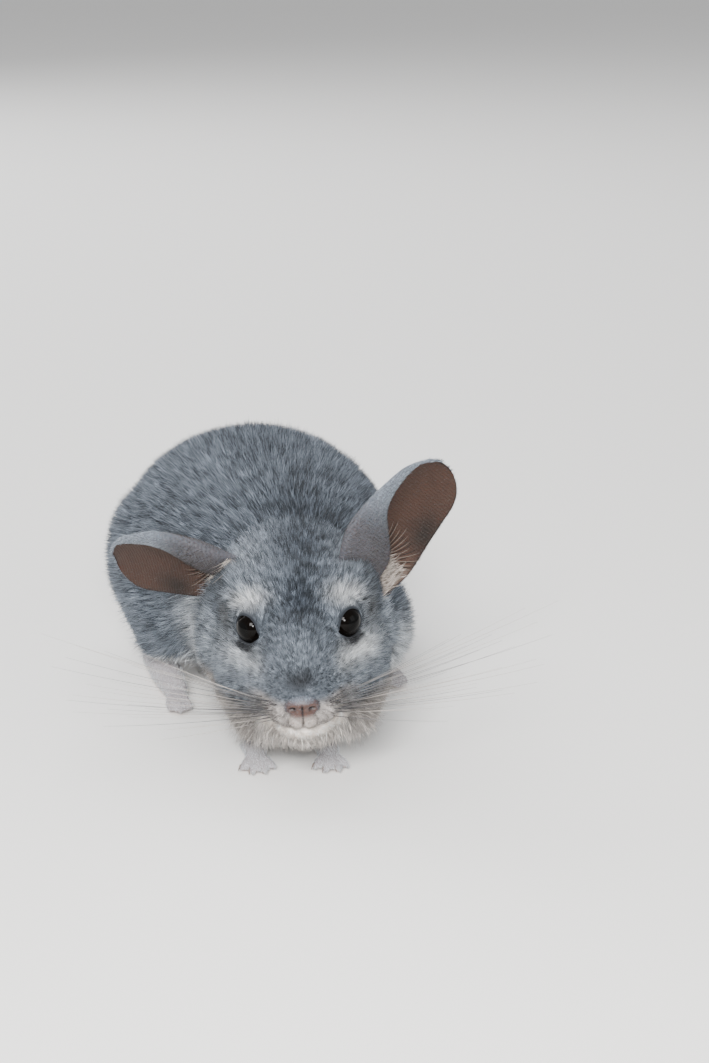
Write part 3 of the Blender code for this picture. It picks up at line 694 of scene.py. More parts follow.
def eye_gaps(points):
    """How far past the lids' edge each point lies, in millimetres, and the way out from the eye."""
    gap = np.full(len(points), 99.0)
    out = np.zeros_like(points)
    for middle, (_, side) in zip(EYE_MIDDLES, SIDES):
        look, _, _ = eye_frame(side)
        from_eye = points - np.array(middle)
        distance = np.linalg.norm(from_eye, axis=1)
        facing = np.clip((from_eye / distance[:, None]) @ look, -1.0, 1.0)
        arc = (np.arccos(facing) - math.radians(LID_OPENING)) * EYE_RADIUS
        here = np.where(distance < EYE_RADIUS + 14.0, np.maximum(arc, distance - EYE_RADIUS - 2.0), 99.0)
        radial = unit(from_eye - look * (from_eye @ look)[:, None])
        nearer = here < gap
        gap = np.where(nearer, here, gap)
        out = np.where(nearer[:, None], radial, out)
    return gap, out


def markings(points, normals, names):
    """The coat's colour at points of the skin and its share of dark-tipped hair, as rows of four."""
    local = in_head(points)
    height = points[:, 2]
    on_head = belongs(names, "head")

    colour = np.tile(np.array(GREY), (len(points), 1))
    flank = ease(0.60, -0.20, normals[:, 2])
    colour = blend(colour, SILVER, 0.45 + 0.45 * flank)
    shoulder = flank * ease(-25.0, -50.0, points[:, 1])
    colour = blend(colour, blend(PALE, WHITE, 0.4), 0.92 * shoulder)
    belly = np.maximum(ease(-0.30, -0.80, normals[:, 2]) * ease(40.0, 20.0, height), 0.9 * ease(15.0, 6.0, height))
    colour = blend(colour, WHITE, belly)
    spine = ease(24.0, 2.0, np.abs(points[:, 0])) * ease(0.4, 0.9, normals[:, 2])
    colour = blend(colour, SLATE, 0.30 * spine)
    # The darker nape is partly the coat's darker top and partly painted shade over the top of the head and neck
    nape = patch(local, (3.0, 38.0, 22.0), (11.0, 19.0, 12.0))
    colour = blend(colour, blend(GREY, SLATE, 0.6), 0.90 * nape)
    dark = (0.40 + 0.12 * spine - 0.14 * flank - 0.12 * shoulder) * (1.0 - belly)

    face = np.tile(blend(GREY, SILVER, 0.68), (len(points), 1))
    cheek = ease(1.0, -8.0, local[:, 2]) * ease(7.0, 17.0, np.abs(local[:, 0]))
    face = blend(face, PALE, 0.30 * cheek)
    face = blend(face, PALE, 0.45 * np.minimum(pair(local, (19.0, 26.0, 15.0), (9.0, 12.0, 9.0)), 1.0))
    # The darker patch between the eyes and the crown are partly darker fur and partly painted shade on the top of the
    # head; they also get more dark-tipped hair
    between = patch(local, (1.0, -1.0, 9.0), (8.0, 13.0, 9.0))
    face = blend(face, blend(GREY, SLATE, 0.65), 0.95 * between)
    crown = patch(local, (3.0, 24.0, 20.0), (11.5, 24.0, 11.0))
    face = blend(face, blend(GREY, SLATE, 0.6), 0.90 * crown)
    face = blend(face, MUZZLE_TOP, 0.90 * patch(local, (0.0, -27.5, -7.5), (8.0, 7.5, 5.5)))
    face = blend(face, SILVER, 0.70 * patch(local, (0.0, -19.0, 0.5), (9.0, 7.0, 6.0)))
    brow = np.minimum(
        1.2 * pair(local, (17.6, 3.4, 9.8), (6.0, 5.2, 3.2)) + pair(local, (22.0, 5.8, 7.8), (3.4, 4.5, 3.0)), 1.0
    )
    under = np.minimum(
        pair(local, (23.0, -4.5, -8.0), (8.0, 9.0, 4.4)) + 0.7 * pair(local, (16.5, -11.5, -8.6), (5.0, 6.0, 3.4)), 1.0
    )
    face = blend(face, WHITE, 0.95 * brow)
    # The pale fur under the eyes is the coat's own, but the right side gets only 0.55 of it: that difference is painted
    # shade on the right side of the face
    face = blend(face, WHITE, 0.88 * under * np.where(local[:, 0] > 0.0, 1.0, 0.55))
    temple = np.minimum(pair(local, (26.5, 9.0, 1.0), (4.5, 8.0, 7.0)), 1.0)
    face = blend(face, OLIVE, 0.75 * temple)
    face = blend(face, PALE, 0.5 * np.minimum(pair(local, (31.0, 16.0, -14.0), (8.0, 12.0, 12.0)), 1.0))
    muzzle = ease(-14.0, -18.0, local[:, 2]) * ease(-10.0, -20.0, local[:, 1])
    face = blend(face, MUZZLE, 0.85 * muzzle)
    below = ease(0.3, -0.5, mouth_height(local)) * ease(34.0, 12.0, local[:, 1] + 0.0)
    # Painted shade over the jowls, whose own fur is pale; the chin's white is held back there too
    jowl_shade = ease(-20.0, -27.0, local[:, 2]) * ease(10.0, 20.0, np.abs(local[:, 0]))
    face = blend(face, JOWL, 0.80 * jowl_shade)
    chin = below * ease(-24.0, -28.0, local[:, 2]) * (1.0 - 0.45 * jowl_shade)
    face = blend(face, blend(CREAM, WHITE, 0.25), 0.95 * chin)
    lip = below * ease(-5.5, -3.5, mouth_height(local)) * ease(17.0, 12.0, np.abs(local[:, 0]))
    face = blend(face, LIP, 0.95 * lip * ease(-24.0, -28.0, local[:, 2]))
    # Dark lid rims, widened into painted shade all round the eyes
    gap, _ = eye_gaps(points)
    face = blend(face, SOOT, 0.95 * ease(1.7, 0.8, gap))
    # Painted shade in the crease of the coat: nearly black along its line, with more dark-tipped hair
    crease = crease_nearness(local)
    face = blend(face, SOOT, np.minimum(1.3 * crease, 1.0))
    face_dark = 0.38 + 0.24 * between + 0.12 * crown + 0.4 * crease
    face_dark += 0.25 * patch(local, (0.0, -27.0, -6.0), (8.0, 8.0, 7.0))
    face_dark *= (1.0 - 0.9 * brow) * (1.0 - 0.70 * under) * (1.0 - below) * (1.0 - 0.5 * muzzle)
    face_dark *= 1.0 - 0.35 * cheek
    colour = blend(colour, face, on_head)
    dark = mix(dark, face_dark, on_head)
    mottle = (wander(points, 1.9) + 0.6 * wander(points[:, ::-1] + 40.0, 3.4)) * (1.0 - 0.7 * belly)
    colour = colour * (1.0 + 0.20 * mottle)[:, None]

    legs = belongs(names, "foreleg")
    colour = blend(colour, blend(SILVER, WHITE, 0.7), legs * ease(30.0, 12.0, height))
    dark = dark * (1.0 - 0.8 * legs)
    return np.concatenate([colour, dark[:, None]], axis=1)


# Hair

def mesh_from(name, points, faces, colours, maps):
    """An object from arrays of points in millimetres, triangles, point colours and map places."""
    mesh = bpy.data.meshes.new(name)
    mesh.vertices.add(len(points))
    mesh.vertices.foreach_set("co", (points * MM).astype(np.float32).ravel())
    mesh.loops.add(faces.size)
    mesh.loops.foreach_set("vertex_index", faces.astype(np.int32).ravel())
    mesh.polygons.add(len(faces))
    mesh.polygons.foreach_set("loop_start", np.arange(0, faces.size, 3, dtype=np.int32))
    mesh.update(calc_edges=True)
    mesh.shade_smooth()
    made = bpy.data.objects.new(name, mesh)
    bpy.context.scene.collection.objects.link(made)
    paint(made, colours)
    layer = mesh.uv_layers.new(name=MAP_NAME)
    layer.data.foreach_set("uv", maps[faces.ravel()].astype(np.float32).ravel())
    return made


def strand_mesh(name, spines, sides, half_widths, colours, root_maps, flatness=0.6):
    """Closed three-sided tapered strands in one mesh.

    spines is strands x stations x 3, sides gives each strand's flat direction, half_widths and colours
    have a value for each station, and root_maps is each strand's place on the skin's unwrap.
    """
    count, stations, _ = spines.shape
    rings = stations - 1
    ahead = unit(np.gradient(spines, axis=1))
    side = unit(sides[:, None, :] - ahead * (sides[:, None, :] * ahead).sum(axis=2, keepdims=True))
    rise = np.cross(ahead, side)
    corners = []
    for corner in range(3):
        angle = 2.0 * math.pi * corner / 3.0 + math.pi / 2.0
        offset = side * math.cos(angle) + rise * math.sin(angle) * flatness
        corners.append(spines + offset * half_widths[:, :, None])
    ring_points = np.stack(corners, axis=2)[:, :rings].reshape(count, rings * 3, 3)
    points = np.concatenate([ring_points, spines[:, rings:]], axis=1)
    size = rings * 3 + 1
    pattern = [(0, 2, 1)]
    for ring in range(rings - 1):
        for corner in range(3):
            after = (corner + 1) % 3
            here, there = ring * 3, ring * 3 + 3
            pattern.append((here + corner, here + after, there + after))
            pattern.append((here + corner, there + after, there + corner))
    last = (rings - 1) * 3
    for corner in range(3):
        pattern.append((last + corner, last + (corner + 1) % 3, rings * 3))
    faces = (np.array(pattern)[None] + (np.arange(count) * size)[:, None, None]).reshape(-1, 3)
    ring_colours = np.repeat(colours[:, :rings], 3, axis=1)
    point_colours = np.concatenate([ring_colours, colours[:, rings:]], axis=1).reshape(-1, 3)
    turn = 0.0013 * (np.arange(size) % 3 - 1.0)
    reach = 0.0015 * np.linspace(-1.0, 1.0, size)
    spot = np.stack([turn, reach], axis=1)
    maps = (root_maps[:, None, :] + spot[None]).reshape(-1, 2)
    return mesh_from(name, points.reshape(-1, 3), faces, point_colours, maps)


class Ground:
    """A mesh that hair grows on, as arrays of its triangles."""

    def __init__(self, thing):
        mesh = thing.data
        mesh.calc_loop_triangles()
        count = len(mesh.loop_triangles)
        self.points = points_of(thing)
        self.normals = normals_of(thing)
        self.edges = edges_of(thing)
        corners = np.zeros(count * 3, np.int64)
        mesh.loop_triangles.foreach_get("vertices", corners)
        self.faces = corners.reshape(-1, 3)
        loops = np.zeros(count * 3, np.int64)
        mesh.loop_triangles.foreach_get("loops", loops)
        maps = np.zeros(len(mesh.loops) * 2)
        mesh.uv_layers[MAP_NAME].data.foreach_get("uv", maps)
        self.maps = maps.reshape(-1, 2)[loops].reshape(-1, 3, 2)
        self.point_maps = np.zeros((len(self.points), 2))
        self.point_maps[self.faces.ravel()] = self.maps.reshape(-1, 2)
        a, b, c = (self.points[self.faces[:, i]] for i in range(3))
        self.area = np.linalg.norm(np.cross(b - a, c - a), axis=1) / 2.0

    def sow(self, density):
        """Random places on the mesh, with a density in hairs a square millimetre for each point."""
        share = 1.0
        wanted = self.area * density[self.faces].mean(axis=1) * share
        number = np.floor(wanted + rng.random(len(wanted))).astype(int)
        face = np.repeat(np.arange(len(wanted)), number)
        u, v = rng.random(len(face)), rng.random(len(face))
        flip = u + v > 1.0
        u, v = np.where(flip, 1.0 - u, u), np.where(flip, 1.0 - v, v)
        return face, np.stack([1.0 - u - v, u, v], axis=1)

    def at(self, sown, values):
        """Values of the mesh's points at the sown places."""
        face, weights = sown
        held = values[self.faces[face]]
        if held.ndim == 2:
            return (held * weights).sum(axis=1)
        return (held * weights[:, :, None]).sum(axis=1)

    def map_at(self, sown):
        face, weights = sown
        return (self.maps[face] * weights[:, :, None]).sum(axis=1)


def clump(spines, reach, strength):
    """Draws the ends of neighbouring tufts together, towards one of each small group. Gives its order too."""
    roots = spines[:, 0]
    leaders = rng.permutation(len(roots))[: max(1, int(len(roots) / reach))]
    tree = KDTree(len(leaders))
    for order, index in enumerate(leaders):
        tree.insert(Vector(roots[index]), order)
    tree.balance()
    group = leaders[np.array([tree.find(Vector(root))[1] for root in roots])]
    pull = (np.linspace(0.0, 1.0, spines.shape[1]) ** 1.5 * strength)[None, :, None]
    return spines * (1.0 - pull) + spines[group] * pull, group


def bent_spines(roots, normals, lie, length, lift, bend, stations, stray=9.0):
    """Middle lines of tufts that leave the skin and lie over towards their tips. Angles are degrees."""
    side = np.cross(normals, lie)
    swing = np.radians(10.0 * wander(roots, 14.0) + stray * rng.standard_normal(len(roots)))
    way = lie * np.cos(swing)[:, None] + side * np.sin(swing)[:, None]
    middle = (np.arange(stations - 1) + 0.5) / (stations - 1)
    angle = np.radians(lift[:, None] + bend * (0.5 - middle[None, :]))
    step = (length / (stations - 1))[:, None, None]
    runs = way[:, None, :] * np.cos(angle)[:, :, None] + normals[:, None, :] * np.sin(angle)[:, :, None]
    moves = np.concatenate([np.zeros((len(roots), 1, 3)), np.cumsum(runs * step, axis=1)], axis=1)
    return roots[:, None, :] + moves, side


def ticked(marks, stations, root_shade, group=None):
    """Hair colour along each tuft: darker towards the root, as painted shade of the coat's depth, where not white; dark
    tips on its share of them.

    group has the order of each tuft's leader, whose shade and tip most tufts of its group share.
    """
    count = len(marks)
    shift = rng.standard_normal(count)
    chance = rng.random(count)
    if group is not None:
        shift = 0.8 * shift[group] + 0.6 * shift
        chance = np.where(rng.random(count) < 0.7, chance[group], chance)
    tone = np.clip(1.0 + mix(0.25, 0.15, ease(0.35, 0.70, marks[:, 1])) * shift, 0.35, 1.8)
    dark = chance < marks[:, 3]
    bright = chance > 1.0 - 0.3 * (1.0 - marks[:, 3])
    share = np.linspace(0.0, 1.0, stations)
    # root_shade is painted shade: the coat's depth shading each tuft towards the skin
    root = mix(root_shade, 0.88, ease(0.42, 0.72, marks[:, 1]))[:, None]
    value = (root + (1.0 - root) * ease(0.0, 0.6, share)[None, :]) * tone[:, None]
    value = np.where(dark[:, None], value * (1.0 - 0.82 * ease(0.0, 0.7, share))[None, :], value)
    value = np.where(bright[:, None], value * 1.35, value)
    return np.clip(marks[:, None, :3] * value[:, :, None], 0.004, 0.9)


def above_floor(spines, least=0.35):
    spines[:, :, 2] = np.maximum(spines[:, :, 2], least)
    return spines


def strand_pieces(name, spines, sides, widths, colours, maps, finish, slot):
    """The strands as joined meshes under the triangle limit, split from front to rear."""
    each = 4 + 6 * (spines.shape[1] - 2)
    number = math.ceil(len(spines) * each / PIECE_LIMIT)
    ranks = np.argsort(spines[:, 0, 1])
    for order, rows in enumerate(np.array_split(ranks, number)):
        title = f"{name}_{order + 1}"
        piece = strand_mesh(title, spines[rows], sides[rows], widths[rows], colours[rows], maps[rows])
        wear(piece, finish, slot)


def short_hair(name, ground, density, marks, lie, lengths, lifts, half_width, finish, slot):
    """Very short straight hair sown over a small piece."""
    sown = ground.sow(density)
    roots = ground.at(sown, ground.points)
    normals = unit(ground.at(sown, ground.normals))
    way = ground.at(sown, lie)
    way = unit(way - normals * (way * normals).sum(axis=1, keepdims=True))
    hair = rng.uniform(*lengths, len(roots))
    lift = rng.uniform(*lifts, len(roots))
    spines, flat = bent_spines(roots - normals * 0.1, normals, way, hair, lift, 0.0, 2)
    spines = above_floor(spines, 0.15)
    widths = half_width * rng.uniform(0.7, 1.3, len(roots))[:, None] * np.array((1.0, 0.0))[None, :]
    colours = ticked(ground.at(sown, marks), 2, 0.7)
    strand_pieces(name, spines, flat, widths, colours, ground.map_at(sown), finish, slot)


def lie_of_coat(points, normals, names):
    """The way the hair lies on the skin: back from the nose, back and down the body, down the legs."""
    local = in_head(points)
    away = unit(local - np.array((0.0, -36.0, -14.0)))
    on_face = head_way(away + np.array((0.0, 0.25, 0.0)))
    throat = ease(0.0, -3.0, mouth_height(local))
    on_face = blend(on_face, head_way(np.array((0.0, 0.55, -0.85))), 0.8 * throat)
    body = np.zeros_like(points) + np.array((0.0, 1.0, -0.32))
    body[:, 0] += 0.15 * np.sign(points[:, 0])
    leg = np.zeros_like(points) + np.array((0.0, -0.45, -1.0))
    lie = blend(body, on_face, belongs(names, "head"))
    lie = blend(lie, leg, belongs(names, "foreleg"))
    share, _ = tail_share(points)
    tail_ahead = unit(smooth_through(TAIL_LINE, share + 0.02) - smooth_through(TAIL_LINE, share - 0.02))
    lie = blend(lie, tail_ahead, belongs(names, "tail"))
    gap, out = eye_gaps(points)
    lie = blend(lie, out + np.array((0.0, 0.0, 0.25)), 0.50 * ease(3.4, 0.8, gap))
    lie -= normals * (lie * normals).sum(axis=1, keepdims=True)
    return unit(lie)


def growth(points):
    """1 where fur grows, 0 on the lids' edge, inside the eye, on the nose and in the line of the mouth."""
    local = in_head(points)
    gap, _ = eye_gaps(points)
    grows = np.where(gap < 0.40, 0.0, 1.0) * (1.0 - 0.9 * crease_nearness(local))
    for middle in EYE_MIDDLES:
        distance = np.linalg.norm(points - np.array(middle), axis=1)
        grows *= np.where(distance < EYE_RADIUS + 0.3, 0.0, 1.0)
    nose = ((local - np.array((0.0, -30.5, -17.2))) / np.array((5.3, 5.5, 4.4))) ** 2
    grows *= np.where(nose.sum(axis=1) < 1.0, 0.0, 1.0)
    mouth = (np.abs(mouth_height(local)) < 0.40) & (local[:, 1] < -8.0)
    return grows * np.where(mouth & (np.abs(local[:, 0]) < MOUTH_HALF_WIDTH - 2.0), 0.0, 1.0)


def grow_coat(skin, names, fur):
    """The dense coat over the whole skin, finest and shortest on the face."""
    local = in_head(skin.points)
    from_nose = np.linalg.norm(local - np.array(NOSE_TIP), axis=1)
    fine = spread(belongs(names, "head"), skin.edges, 40)
    reach = ease(4.0, 50.0, from_nose)
    gap, _ = eye_gaps(skin.points)
    face_length = (1.5 + 2.6 * reach) * (1.0 - 0.45 * ease(3.5, 0.6, gap))
    brow = np.minimum(pair(local, (17.2, 3.2, 9.3), (7.0, 6.0, 3.0)), 1.0)
    throat = ease(-1.5, -9.0, mouth_height(local)) * ease(-24.0, -33.0, local[:, 2])
    ruff = np.minimum(pair(local, (23.5, 20.0, 11.5), (4.0, 7.0, 6.0)) + pair(local, (29.0, 21.0, 2.0), (5.0, 7.0, 6.0)), 1.0)
    face_length = face_length + 0.9 * brow + 2.5 * throat + 3.0 * ruff
    ahead = crease_nearness(local + np.array((0.0, 2.2, 0.6)))
    face_length *= 1.0 - 0.6 * np.maximum(crease_nearness(local), ahead)
    depth = by_region(names, COAT_DEPTH)
    body_length = spread(np.where(names == "tail_core", 0.0, depth * 1.3), skin.edges, 20)
    length = mix(body_length, face_length, fine)
    lift = mix(52.0, 27.0 + 21.0 * reach - 12.0 * ease(3.0, 0.8, gap), fine)
    lift = mix(lift, 22.0, throat)
    width = mix(0.180, 0.110 + 0.042 * reach, fine) * (1.0 - 0.35 * throat)
    density = mix(3.0, 12.5 - 5.0 * reach, fine) + 3.0 * throat
    density = density * np.where(names == "tail_core", 0.0, 1.0) * growth(skin.points)
    lie = unit(spread_rows(lie_of_coat(skin.points, skin.normals, names), skin.edges, 6))
    marks = markings(skin.points + lie * (0.6 * length * fine)[:, None], skin.normals, names)

    sown = skin.sow(density)
    roots = skin.at(sown, skin.points)
    normals = unit(skin.at(sown, skin.normals))
    way = skin.at(sown, lie)
    way = unit(way - normals * (way * normals).sum(axis=1, keepdims=True))
    hair = skin.at(sown, length) * rng.uniform(0.75, 1.15, len(roots))
    stance = skin.at(sown, lift) * rng.uniform(0.7, 1.3, len(roots))
    half = skin.at(sown, width) * rng.uniform(0.75, 1.25, len(roots))
    marked = skin.at(sown, marks)
    maps = skin.map_at(sown)
    face = skin.at(sown, fine) > 0.5
    for name, chosen, size, pull, root_shade in (
        ("coat_face", face, 8.0, 0.30, 0.38), ("coat_body", ~face, 7.0, 0.26, 0.40),
    ):
        index = np.flatnonzero(chosen)
        base = roots[index] - normals[index] * 0.25
        spines, side = bent_spines(base, normals[index], way[index], hair[index], stance[index], 0.0, 2, 21.0)
        spines, leader = clump(spines, size, pull)
        widths = half[index][:, None] * np.array((1.0, 0.0))[None, :]
        colours = ticked(marked[index], 2, root_shade, leader)
        strand_pieces(name, above_floor(spines), side, widths, colours, maps[index], fur, "grey_fur")


def grow_guard_hair(skin, names, marks, fur):
    """Longer, sparse, bent hair that breaks the outline of the body and hangs from the throat."""
    local = in_head(skin.points)
    head = belongs(names, "head")
    tail = belongs(names, "tail_core")
    throat = head * ease(-2.0, -8.0, mouth_height(local)) * ease(-26.0, -33.0, local[:, 2])
    density = (0.11 * (1.0 - head) * (1.0 - tail) + 2.4 * throat) * growth(skin.points)
    length = mix(by_region(names, COAT_DEPTH) * 2.0, 13.0, throat)
    length = spread(length, skin.edges, 10)
    lie = lie_of_coat(skin.points, skin.normals, names)
    sown = skin.sow(density)
    roots = skin.at(sown, skin.points)
    normals = unit(skin.at(sown, skin.normals))
    way = skin.at(sown, lie)
    way = unit(way - normals * (way * normals).sum(axis=1, keepdims=True))
    hair = skin.at(sown, length) * rng.uniform(0.75, 1.1, len(roots))
    hanging = skin.at(sown, throat)
    lift = rng.uniform(26.0, 44.0, len(roots)) * (1.0 - 0.55 * hanging)
    spines, side = bent_spines(roots - normals * 0.25, normals, way, hair, lift, 26.0, 3, 14.0)
    spines = above_floor(spines)
    taper = np.array((1.0, 0.75, 0.0))
    widths = (0.11 - 0.03 * hanging)[:, None] * rng.uniform(0.7, 1.2, len(roots))[:, None] * taper[None, :]
    colours = ticked(skin.at(sown, marks), 3, 0.4)
    strand_pieces("guard_hair", spines, side, widths, colours, skin.map_at(sown), fur, "grey_fur")


# Tail

def grow_tail(skin, hair):
    """Coarse tapered locks round the tail's core, dark above and paler at the sides and below."""
    count = TAIL_HAIRS
    along = TAIL_HAIR_START + (1.0 - TAIL_HAIR_START) * rng.random(count) ** 0.92
    around = rng.random(count) * 2.0 * math.pi
    centre = smooth_through(TAIL_LINE, along)
    ahead = unit(smooth_through(TAIL_LINE, along + 0.01) - smooth_through(TAIL_LINE, along - 0.01))
    side = unit(np.cross(ahead, np.array((0.0, 0.0, 1.0))))
    rise = np.cross(side, ahead)
    out = side * np.cos(around)[:, None] + rise * np.sin(around)[:, None]
    roots = centre + out * (TAIL_CORE_RADIUS - 2.6 * along)[:, None]
    tip = ease(0.80, 1.0, along)
    lift = (44.0 - 22.0 * along) * (1.0 - 0.55 * tip) + 6.0 * rng.standard_normal(count)
    length = TAIL_HAIR_LENGTH * rng.uniform(0.70, 1.08, count) * (1.0 - 0.12 * along)
    length *= rng.uniform(1.0 - 0.5 * tip, 1.0)
    spines, flat = bent_spines(roots, out, ahead, length, lift, 24.0, 5, 8.0)
    spines, leader = clump(spines, 9.0, 0.42)
    taper = (1.0 - np.linspace(0.0, 1.0, 5)) ** 0.6
    widths = 0.50 * rng.uniform(0.6, 1.2, count)[:, None] * taper[None, :]
    top = ease(-0.3, 0.7, np.sin(around))
    colour = blend(SILVER, SLATE, top)
    colour = blend(colour, WHITE, 0.45 * ease(0.2, -0.9, np.sin(around)))
    marks = np.concatenate([colour, (0.30 + 0.35 * top)[:, None]], axis=1)
    tree = KDTree(len(skin.points))
    for index, point in enumerate(skin.points):
        tree.insert(Vector(point), index)
    tree.balance()
    nearest = [tree.find(Vector(root))[1] for root in roots]
    colours = ticked(marks, 5, 0.6, leader)
    maps = skin.point_maps[nearest]
    strand_pieces("tail_hair", above_floor(spines), flat, widths, colours, maps, hair, "tail_hair")


# Eyes

def make_eye(letter, side, middle, finish):
    """A glossy eyeball with a round dark pupil in a hardly lighter brown iris."""
    eye = add_ball(middle, (EYE_RADIUS,) * 3, segments=96)
    eye.name = "eyeball_" + letter
    look, forward, up = eye_frame(side)
    away = unit(points_of(eye) - np.array(middle))
    facing = away @ look
    bulge = CORNEA_SHIFT * facing + np.sqrt(CORNEA_RADIUS**2 - (CORNEA_SHIFT**2) * (1.0 - facing**2))
    move_points(eye, np.array(middle) + away * np.maximum(bulge, EYE_RADIUS)[:, None])
    angle = np.degrees(np.arccos(np.clip(facing, -1.0, 1.0)))
    turn = np.arctan2(away @ up, away @ forward)
    streak = 1.0 + 0.35 * np.sin(23.0 * turn) * np.sin(37.0 * turn + 1.0)
    iris = ease(24.0, 27.0, angle) * ease(60.0, 50.0, angle)
    colour = blend(np.array((0.002, 0.002, 0.002)), np.array(IRIS), iris) * streak[:, None]
    paint(eye, colour)
    eye.data.uv_layers.active.name = MAP_NAME
    eye.data.shade_smooth()
    wear(eye, finish, "black_eye", "eye_" + letter)


# Nose

def make_nose(finish, fur):
    """The bare nose: a broad pad over two rounded lips, with comma-shaped nostrils and a deep furrow."""
    balls = [add_ball((0.0, -28.7, -15.9), (5.2, 3.3, 3.3), HEAD), add_ball((0.0, -28.4, -19.0), (4.2, 3.0, 3.4), HEAD)]
    for _, side in SIDES:
        balls.append(add_ball((2.0 * side, -27.3, -22.0), (3.0, 2.9, 3.3), HEAD))
        balls.append(add_ball((3.5 * side, -28.2, -16.8), (2.4, 2.6, 2.3), HEAD))
    nose = join("nose_skin", balls)
    apply_modifier(nose, "REMESH", mode="VOXEL", voxel_size=0.24 * MM)
    apply_modifier(nose, "SMOOTH", iterations=14)
    points = points_of(nose)
    local = in_head(points)
    x, z = np.abs(local[:, 0]), local[:, 2]
    front = ease(-27.5, -29.5, local[:, 1])
    groove = np.exp(-(x / 0.38) ** 2) * ease(-14.2, -15.6, z)
    arm = np.exp(-((z + 15.9 - 0.55 * (x - 1.2)) / 0.42) ** 2) * ease(2.6, 1.2, x)
    slit = np.exp(-(((x - 3.7) / 1.25) ** 2 + ((z + 16.6 + 0.35 * (x - 3.7)) / 0.62) ** 2))
    hole = np.exp(-(((x - 3.1) / 0.75) ** 2 + ((z + 17.1) / 0.75) ** 2))
    sink = front * (0.75 * groove + 0.30 * arm + 1.2 * slit + 1.3 * hole)
    grain = 0.05 * np.sin(9.0 * local[:, 0]) * np.sin(9.0 * z + 1.0)
    move_points(nose, points - normals_of(nose) * (sink + grain * front)[:, None])
    # Painted shade in the furrow, the arms of its Y, the slits and the nostril holes, by how deep they are
    depth = np.clip(0.9 * groove + 0.4 * arm + 1.1 * slit + 1.3 * hole, 0.0, 1.0) * front
    colour = np.tile(np.array(NOSE_SKIN), (len(points), 1))
    colour = blend(colour, MUZZLE, 0.6 * ease(-18.5, -21.5, z))
    colour = blend(colour, GREY, 0.7 * ease(-15.2, -13.0, z))
    colour = blend(colour, NOSE_HOLLOW_SHADE, depth)
    paint(nose, colour)
    unwrap(nose)
    nose.data.shade_smooth()
    wear(nose, finish, "bare_nose", "nose")
    ground = Ground(nose)
    local = in_head(ground.points)
    furry = np.maximum(ease(-15.6, -13.2, local[:, 2]), ease(-18.6, -21.5, local[:, 2]))
    furry = np.maximum(furry, ease(3.6, 5.4, np.abs(local[:, 0])))
    furry = (0.16 + 0.84 * furry) * (1.0 - 0.9 * depth)
    tint = blend(np.tile(blend(NOSE_SKIN, SILVER, 0.45), (len(local), 1)), MUZZLE, ease(-18.5, -21.5, local[:, 2]))
    tint = blend(tint, SILVER, ease(-15.6, -13.2, local[:, 2]))
    marks = np.concatenate([tint, np.full((len(local), 1), 0.25)], axis=1)
    lie = head_way(unit(local - np.array((0.0, -36.0, -18.0))) + np.array((0.0, 0.4, 0.0)))
    short_hair("nose_hair", ground, 13.0 * furry, marks, lie, (0.7, 1.3), (15.0, 34.0), 0.075, fur, "pale_fur")


# Whiskers

def whisker_line(side, row, column, stretch, shares):
    """A whisker's drooping line in the head's frame. row and column run from 0 to 2."""
    heights, swings = np.array(WHISKER_ROWS).T
    height = np.interp(row, range(3), heights)
    swing = np.interp(row, range(3), swings)
    length = (np.interp(column, range(3), WHISKER_LENGTHS) - 5.0 * row) * stretch
    back = math.radians(2.0 + 5.0 * column)
    rise = math.radians(swing * (1.0 - 0.25 * column))
    root = np.array(((8.6 + 1.5 * column) * side, -26.4 + 3.3 * column, height - 0.4 * column))
    level = np.array((side * math.cos(back), math.sin(back), 0.0))
    aim = level * math.cos(rise) + np.array((0.0, 0.0, math.sin(rise)))
    droop = np.array((0.0, 0.28, -0.09)) * length
    return root + aim * length * shares[:, None] + droop * shares[:, None] ** 2


def tubes(name, lines, radii, sides, colours):
    """Closed tapered tubes along many lines of the same number of stations, in one mesh."""
    count, stations, _ = lines.shape
    ahead = unit(np.gradient(lines, axis=1))
    side = unit(np.cross(ahead, np.array((0.0, 0.0, 1.0))))
    rise = np.cross(side, ahead)
    angle = 2.0 * math.pi * np.arange(sides) / sides
    around = side[:, :, None] * np.cos(angle)[None, None, :, None]
    around = around + rise[:, :, None] * np.sin(angle)[None, None, :, None]
    points = lines[:, :, None] + around * radii[:, :, None, None]
    faces = []
    for station in range(stations - 1):
        for corner in range(sides):
            after = (corner + 1) % sides
            here, there = station * sides, (station + 1) * sides
            faces.append((here + corner, there + after, here + after))
            faces.append((here + corner, there + corner, there + after))
    for corner in range(1, sides - 1):
        last = (stations - 1) * sides
        faces.append((0, corner, corner + 1))
        faces.append((last, last + corner + 1, last + corner))
    size = stations * sides
    whole = (np.array(faces)[None] + (np.arange(count) * size)[:, None, None]).reshape(-1, 3)
    along = np.tile(np.repeat(np.linspace(0.0, 1.0, stations), sides), count)
    across = np.repeat((np.arange(count) + 0.5) / count, size)
    maps = np.stack([along, across + np.tile(np.arange(size) % sides, count) * 0.5 / sides / count], axis=1)
    point_colours = np.repeat(colours, sides, axis=1).reshape(-1, 3)
    return mesh_from(name, points.reshape(-1, 3), whole, point_colours, maps)


